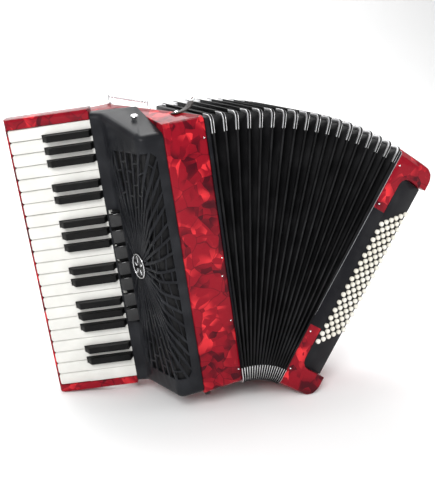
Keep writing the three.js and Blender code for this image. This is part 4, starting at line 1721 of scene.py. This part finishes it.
# --------------------------------------------------------------------------- bass side
@dataclass
class BassSide:
    """The bass casing, its front strip, buttons and screws."""

    width: float = 75.0
    board_inner: float = 24.0
    board_outer_y: float = -180.7
    board: tuple = (28.0, 372.0)
    strip: tuple = (95.4, 306.0)
    corner: float = 15.0
    thick: float = 4.0
    rows: int = 6
    columns: int = 16
    pitch: float = 14.2
    row_step: float = 8.5
    first_row: float = 6.0
    first: float = 76.0

    def board_frame(self) -> Matrix:
        """Frame of the slanting board: x out along the slant, y up, z out of the board.

        Returns:
            The frame, into the row's metres.
        """
        run, rise = self.width - self.board_inner, self.board_outer_y + LAY.depth
        d = math.hypot(run, rise)
        c, s = run / d, rise / d
        m = Matrix(((c, 0, s, self.board_inner - s * self.thick),
                    (s, 0, -c, -LAY.depth + c * self.thick), (0, 1, 0, 0), (0, 0, 0, 1)))
        return LAY.bass() @ m

    def buttons(self, kit: Kit) -> None:
        """The board and its field of domed buttons.

        Args:
            kit: Shared shapes and patterns.
        """
        length = math.hypot(self.width - self.board_inner, self.board_outer_y + LAY.depth)
        low, high, r = self.board[0] + 1, self.board[1] - 1, self.corner - 1
        outline = ([(length - 1, low), (length - 1, high)]
                   + Mould.arc(1 + r, high - r, r, 90, 180, 6)
                   + Mould.arc(1 + r, low + r, r, 180, 270, 6))
        plate = Mould.raised(outline, 0, self.thick)
        obj = Mould.piece(plate, "button_board", self.board_frame(), BLACK, 0.8)
        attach(obj, Body.BASS)
        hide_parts("bass_button_board")
        dome = Mould.turned([(3.6, 0.0), (3.6, 1.6), (4.1, 2.0), (4.1, 3.0), (3.8, 3.9),
                             (2.9, 4.6), (1.6, 5.0), (0.05, 5.1)], 14)
        shape = kit.shape(dome, "button_shape")
        mesh = bpy.data.meshes.new("bass_buttons")
        mesh.from_pydata([(0, 0, 0)], [], [])
        field_obj = bpy.data.objects.new("bass_buttons", mesh)
        bpy.context.scene.collection.objects.link(field_obj)
        kit.studs.apply(field_obj, CREAM, Rows=self.rows, Columns=self.columns,
                        Row_Step=self.row_step * MM, Pitch=self.pitch * MM, Shape=shape)
        mid = Matrix.Translation((self.first_row + (self.rows - 1) / 2 * self.row_step,
                                  self.first + (self.columns - 1) / 2 * self.pitch
                                  + (self.rows - 1) / 4 * self.pitch, 4.0))
        field_obj.data.transform(self.board_frame() @ mid @ Matrix.Scale(1 / MM, 4))
        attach(field_obj, Body.BASS)

    def front_strip(self) -> None:
        """Three black panels over a black backing on the front, between the two red ends."""
        low, high = self.strip
        third = (high - low) / 3
        panels = [Mould.flat_box(0.6, self.board_inner + 0.4, low + third * n + 0.2,
                                 low + third * (n + 1) - 0.2) for n in range(3)]
        place = LAY.bass() @ UL @ Matrix.Translation((0, 0, LAY.depth + 0.05))
        panels.append(Mould.flat_box(0.5, self.board_inner + 0.3, low, high))
        for n, outline in enumerate(panels, 1):
            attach(Mould.piece(Mould.raised(outline, 0, 0.8 if n < 4 else 0.3),
                                f"bass_front_panel_{n}", place, BLACK, 0.2), Body.BASS)

    def screws(self, kit: Kit) -> None:
        """Plated screws in the red ends, front and back.

        Args:
            kit: Shared shapes and patterns.
        """
        base = LAY.bass()
        head = kit.screw(1.6)
        lows = (17.6, 84.7, 314.5, 383.3)
        spots = [place_on(base, (8.0, -LAY.depth, l), (0, -1, 0)) for l in lows]
        spots += [place_on(base, (8.0, 0, l), (0, 1, 0)) for l in lows]
        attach(kit.copies.scatter("bass_screws", spots, head, SILVER), Body.BASS)

    def build(self, kit: Kit) -> None:
        """Makes the whole bass side.

        Args:
            kit: Shared shapes and patterns.
        """
        Mould.polished("bass_casing", RED, 2.0, Body.BASS, 3, 20.0)
        self.front_strip()
        self.buttons(kit)
        self.screws(kit)


@dataclass
class HandStrap:
    """Leather band for the left hand with its lining, stitches, end plates and wheel."""

    face: float = 75.3
    middle: float = -60.0
    width: float = 56.0
    lining: float = 1.5
    band: float = 2.5
    rise: float = 34.0
    ends: tuple = (42.0, 366.0)
    foot: float = 22.0
    margin: float = 4.5
    stitch: float = 4.4
    wheel_at: tuple = (50.0, -60.0, 409.3)
    wheel_r: float = 10.0

    def path(self) -> list[Point]:
        """Points (u, l) under the band from foot to foot, its bends softened.

        Returns:
            The points in order, from the lower foot.
        """
        low, high = self.ends
        line = [(self.face, low - self.foot), (self.face, low - self.foot / 2)]
        for k in range(41):
            lift = self.rise * min(1.0, 1.25 * math.sin(math.pi * k / 40))
            line.append((self.face + lift, low + (high - low) * k / 40))
        line += [(self.face, high + self.foot / 2), (self.face, high + self.foot)]
        for _ in range(4):
            line = ([line[0], line[1]] + [tuple((a + 2 * b + c) / 4 for a, b, c in zip(*three))
                                          for three in zip(line[1:], line[2:], line[3:])]
                    + [line[-2], line[-1]])[:len(line)]
        return line

    def frames(self) -> list[tuple[Vector, Vector, Vector]]:
        """Position, direction and outward normal along the path, in the bass frame.

        Returns:
            One set for each point of the path.
        """
        line = self.path()
        found = []
        for k, (u, l) in enumerate(line):
            (u0, l0), (u1, l1) = line[max(k - 1, 0)], line[min(k + 1, len(line) - 1)]
            along = Vector((u1 - u0, 0, l1 - l0)).normalized()
            found.append((Vector((u, 0, l)), along, Vector((along.z, 0, -along.x))))
        return found

    def layer(self, name: str, low: float, high: float, width: float, finish: Finish,
              ease: float) -> None:
        """One layer of the band, crowned a little across its width.

        Args:
            name: The piece's name.
            low: Its underside over the path.
            high: Its top over the path.
            width: Its width.
            finish: Its finish.
            ease: Rounding of its edges.
        """
        across = [width * (k / 8 - 0.5) for k in range(9)]
        loops = []
        for at, _, out in self.frames():
            crown = [0.9 * (1 - (2 * y / width) ** 2) for y in across]
            under = [at + out * (low + c * 0.3) + Vector((0, self.middle + y, 0))
                     for y, c in zip(across, crown)]
            over = [at + out * (high + c) + Vector((0, self.middle + y, 0))
                    for y, c in zip(across, crown)]
            loops.append(under + over[::-1])
        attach(Mould.piece(Mould.loft(loops), name, LAY.bass(), finish, ease, 3), Body.BASS)

    def stitches(self, kit: Kit) -> None:
        """Two rows of thread down the band, one along each edge.

        Args:
            kit: Shared shapes and patterns.
        """
        thread = kit.shape(Mould.turned([(0.02, -1.5), (0.34, -1.3), (0.42, -0.7), (0.42, 0.7),
                                         (0.34, 1.3), (0.02, 1.5)], 6), "thread_shape")
        spots = []
        frames = self.frames()
        turn = LAY.bass().to_3x3().normalized()
        spare = 0.0
        for (a, along, out), (b, _, _) in zip(frames[1:-2], frames[2:-1]):
            run = (b - a).length
            while spare < run:
                for side in (-1, 1):
                    p = (a.lerp(b, spare / run) + out * (self.lining + self.band + 0.25)
                         + Vector((0, self.middle + side * (self.width / 2 - self.margin), 0)))
                    spots.append((LAY.bass() @ p, turn @ along))
                spare += self.stitch
            spare -= run
        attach(kit.copies.scatter("strap_stitches", spots, thread, THREAD), Body.BASS)

    def plates(self, kit: Kit) -> None:
        """A plated clamp with two screws over each end of the band.

        Args:
            kit: Shared shapes and patterns.
        """
        top = self.face + self.lining + self.band + 0.9
        spots = []
        for n, (low, high) in enumerate(((self.ends[0] - self.foot + 2, self.ends[0] - 6),
                                         (self.ends[1] + 6, self.ends[1] + self.foot - 2)), 1):
            outline = Mould.rounded(self.middle - 24, self.middle + 24, low, high, 4.0)
            plate = Mould.raised(outline, top - 0.6, top + 0.9)
            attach(Mould.piece(plate, f"strap_clamp_{n}", LAY.bass() @ YL, SILVER, 0.5),
                    Body.BASS)
            spots += [place_on(LAY.bass(), (top + 0.8, self.middle + y, (low + high) / 2),
                               (1, 0, 0)) for y in (-16, 16)]
        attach(kit.copies.scatter("strap_screws", spots, kit.screw(2.2), STEEL), Body.BASS)

    def wheel(self) -> None:
        """The milled wheel that tightens the band."""
        teeth = 36
        rim = [((self.wheel_r - 0.6 * (k % 2)) * math.cos(TAU * k / (2 * teeth)),
                (self.wheel_r - 0.6 * (k % 2)) * math.sin(TAU * k / (2 * teeth)))
               for k in range(2 * teeth)]
        at = LAY.bass() @ Matrix.Translation(self.wheel_at)
        for name, bm, ease in (
                ("wheel_rim", Mould.raised(rim, 0.0, 5.6), 0.3),
                ("wheel_cap", Mould.turned([(3.0, -14.0), (3.0, 5.4), (8.2, 5.4), (8.0, 6.4),
                                            (6.0, 6.9), (2.4, 7.0), (0.02, 6.7)], 32), 0.0)):
            obj = Mould.piece(bm, name, at, SILVER, ease)
            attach(obj, Body.WHEEL)
            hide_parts("strap_wheel")

    def build(self, kit: Kit) -> None:
        """Makes the strap and its wheel.

        Args:
            kit: Shared shapes and patterns.
        """
        self.layer("strap_lining", 0.1, self.lining, self.width - 6, SUEDE, 0.4)
        self.layer("strap_band", self.lining, self.lining + self.band, self.width, LEATHER, 0.9)
        self.stitches(kit)
        self.plates(kit)
        for name in ("strap_lining", "strap_band"):
            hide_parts("hand_strap")
        self.wheel()


@dataclass
class TopHardware:
    """Wire bracket for the shoulder strap and the leather tab that shuts the bellows."""

    posts: tuple = ((-79.0, -13.0), (-18.0, -13.0))
    rise: float = 10.0
    wire: float = 0.95
    twist: float = 1.05
    lay: float = 9.0
    flange: float = 1.8
    tab_at: Point = (-14.0, -150.0)
    tab_turn: Point = (-5.5, 14.0)

    def seat(self, u: float, y: float) -> float:
        """Height of a post's foot over the casing's top."""
        return LAY.top_at(u, y) + self.flange

    @staticmethod
    def tube(path: Sequence[Vector], r: float, up: Vector, sides: int = 8
             ) -> bmesh.types.BMesh:
        """A round wire along a path.

        Args:
            path: Points along its middle.
            r: Its radius.
            up: A direction square to most of the path.
            sides: Flats around it.

        Returns:
            The wire.
        """
        ring = [(r * math.cos(TAU * k / sides), r * math.sin(TAU * k / sides))
                for k in range(sides)]
        return Mould.swept(path, lambda i: ring, up)

    def bracket(self) -> None:
        """Two posts that hold a pair of twisted wires."""
        a, b = (Vector((u, y, self.seat(u, y) + self.rise)) for u, y in self.posts)
        along = (b - a).normalized()
        side = along.cross(Vector((0, 0, 1))).normalized()
        rise = side.cross(along)
        turns = (b - a).length / self.lay
        steps = int(turns * 10)
        for n, phase in enumerate((0.0, math.pi), 1):
            path = []
            for k in range(steps + 1):
                turn = TAU * turns * k / steps + phase
                path.append(a.lerp(b, k / steps)
                            + (side * math.cos(turn) + rise * math.sin(turn)) * self.twist)
            obj = Mould.piece(self.tube(path, self.wire, side), f"bracket_wire_{n}",
                              LAY.treble(), SILVER, angle=50)
            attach(obj, Body.TREBLE)
            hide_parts("shoulder_strap_bracket")
        for n, (u, y) in enumerate(self.posts, 1):
            post = Mould.turned([(4.0, -3.4), (4.0, 0.4), (2.2, 1.4), (1.5, 2.4),
                                 (1.5, self.rise + 1.6), (0.9, self.rise + 2.4),
                                 (0.02, self.rise + 2.6)], 18)
            at = Matrix.Translation((u, y, self.seat(u, y)))
            obj = Mould.piece(post, f"bracket_post_{n}", LAY.treble() @ at, SILVER)
            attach(obj, Body.TREBLE)
            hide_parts("shoulder_strap_bracket")

    def shutting_tab(self) -> None:
        """A leather tab with a plated stud loop, screwed to the top beside the bellows."""
        u, y = self.tab_at
        tilt, turn = (math.radians(angle) for angle in self.tab_turn)
        m = LAY.treble() @ Matrix.Translation((u, y, LAY.top_at(u, y))) @ Matrix.Rotation(
            tilt, 4, "X") @ Matrix.Rotation(turn, 4, "Z")
        spine = [(-17, 0.8), (-10, 1.0), (-3, 1.3), (4, 2.4), (10, 4.8), (15, 8.4), (19, 12.6)]
        loops = []
        for k, (x, z) in enumerate(spine):
            half = 7.5 if 0 < k < len(spine) - 1 else 6.2
            loops.append([(x, -half, z), (x, half, z), (x - 0.5, half, z + 2.2),
                          (x - 0.5, -half, z + 2.2)])
        strap = Mould.piece(Mould.loft(loops), "bellows_tab", m, LEATHER, 0.5)
        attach(strap, Body.TREBLE)
        loop = [Vector((19 + 5 * math.cos(a), 5.6 * math.sin(a), 13.4 + 5 * math.cos(a)))
                for a in (TAU * k / 24 for k in range(24))]
        ring = [(1.1 * math.cos(TAU * k / 8), 1.1 * math.sin(TAU * k / 8)) for k in range(8)]
        wire = Mould.swept(loop, lambda i: ring, Vector((-1, 0, 1)).normalized(), True)
        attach(Mould.piece(wire, "bellows_tab_loop", m, SILVER, angle=50), Body.TREBLE)
        stud = Mould.turned([(3.4, 2.8), (3.2, 3.9), (2.0, 4.7), (0.02, 5.0)], 20)
        at = Matrix.Translation((-11, 0, 0.2))
        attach(Mould.piece(stud, "bellows_tab_stud", m @ at, SILVER), Body.TREBLE)

    def build(self, kit: Kit) -> None:
        """Makes the hardware."""
        self.bracket()
        self.shutting_tab()


def main() -> None:
    """Builds the stage and every sub-assembly, then removes the loose shapes."""
    logging.basicConfig(level=logging.INFO, format="%(message)s")
    kit = Kit()
    Stage().build()
    for maker in (Keyboard(), Casing(), Grille(), Bellows(), BassSide(), HandStrap(),
                  TopHardware()):
        maker.build(kit)
        log.info("made %s", type(maker).__name__)
    kit.clear()


if __name__ == "__main__":
    main()
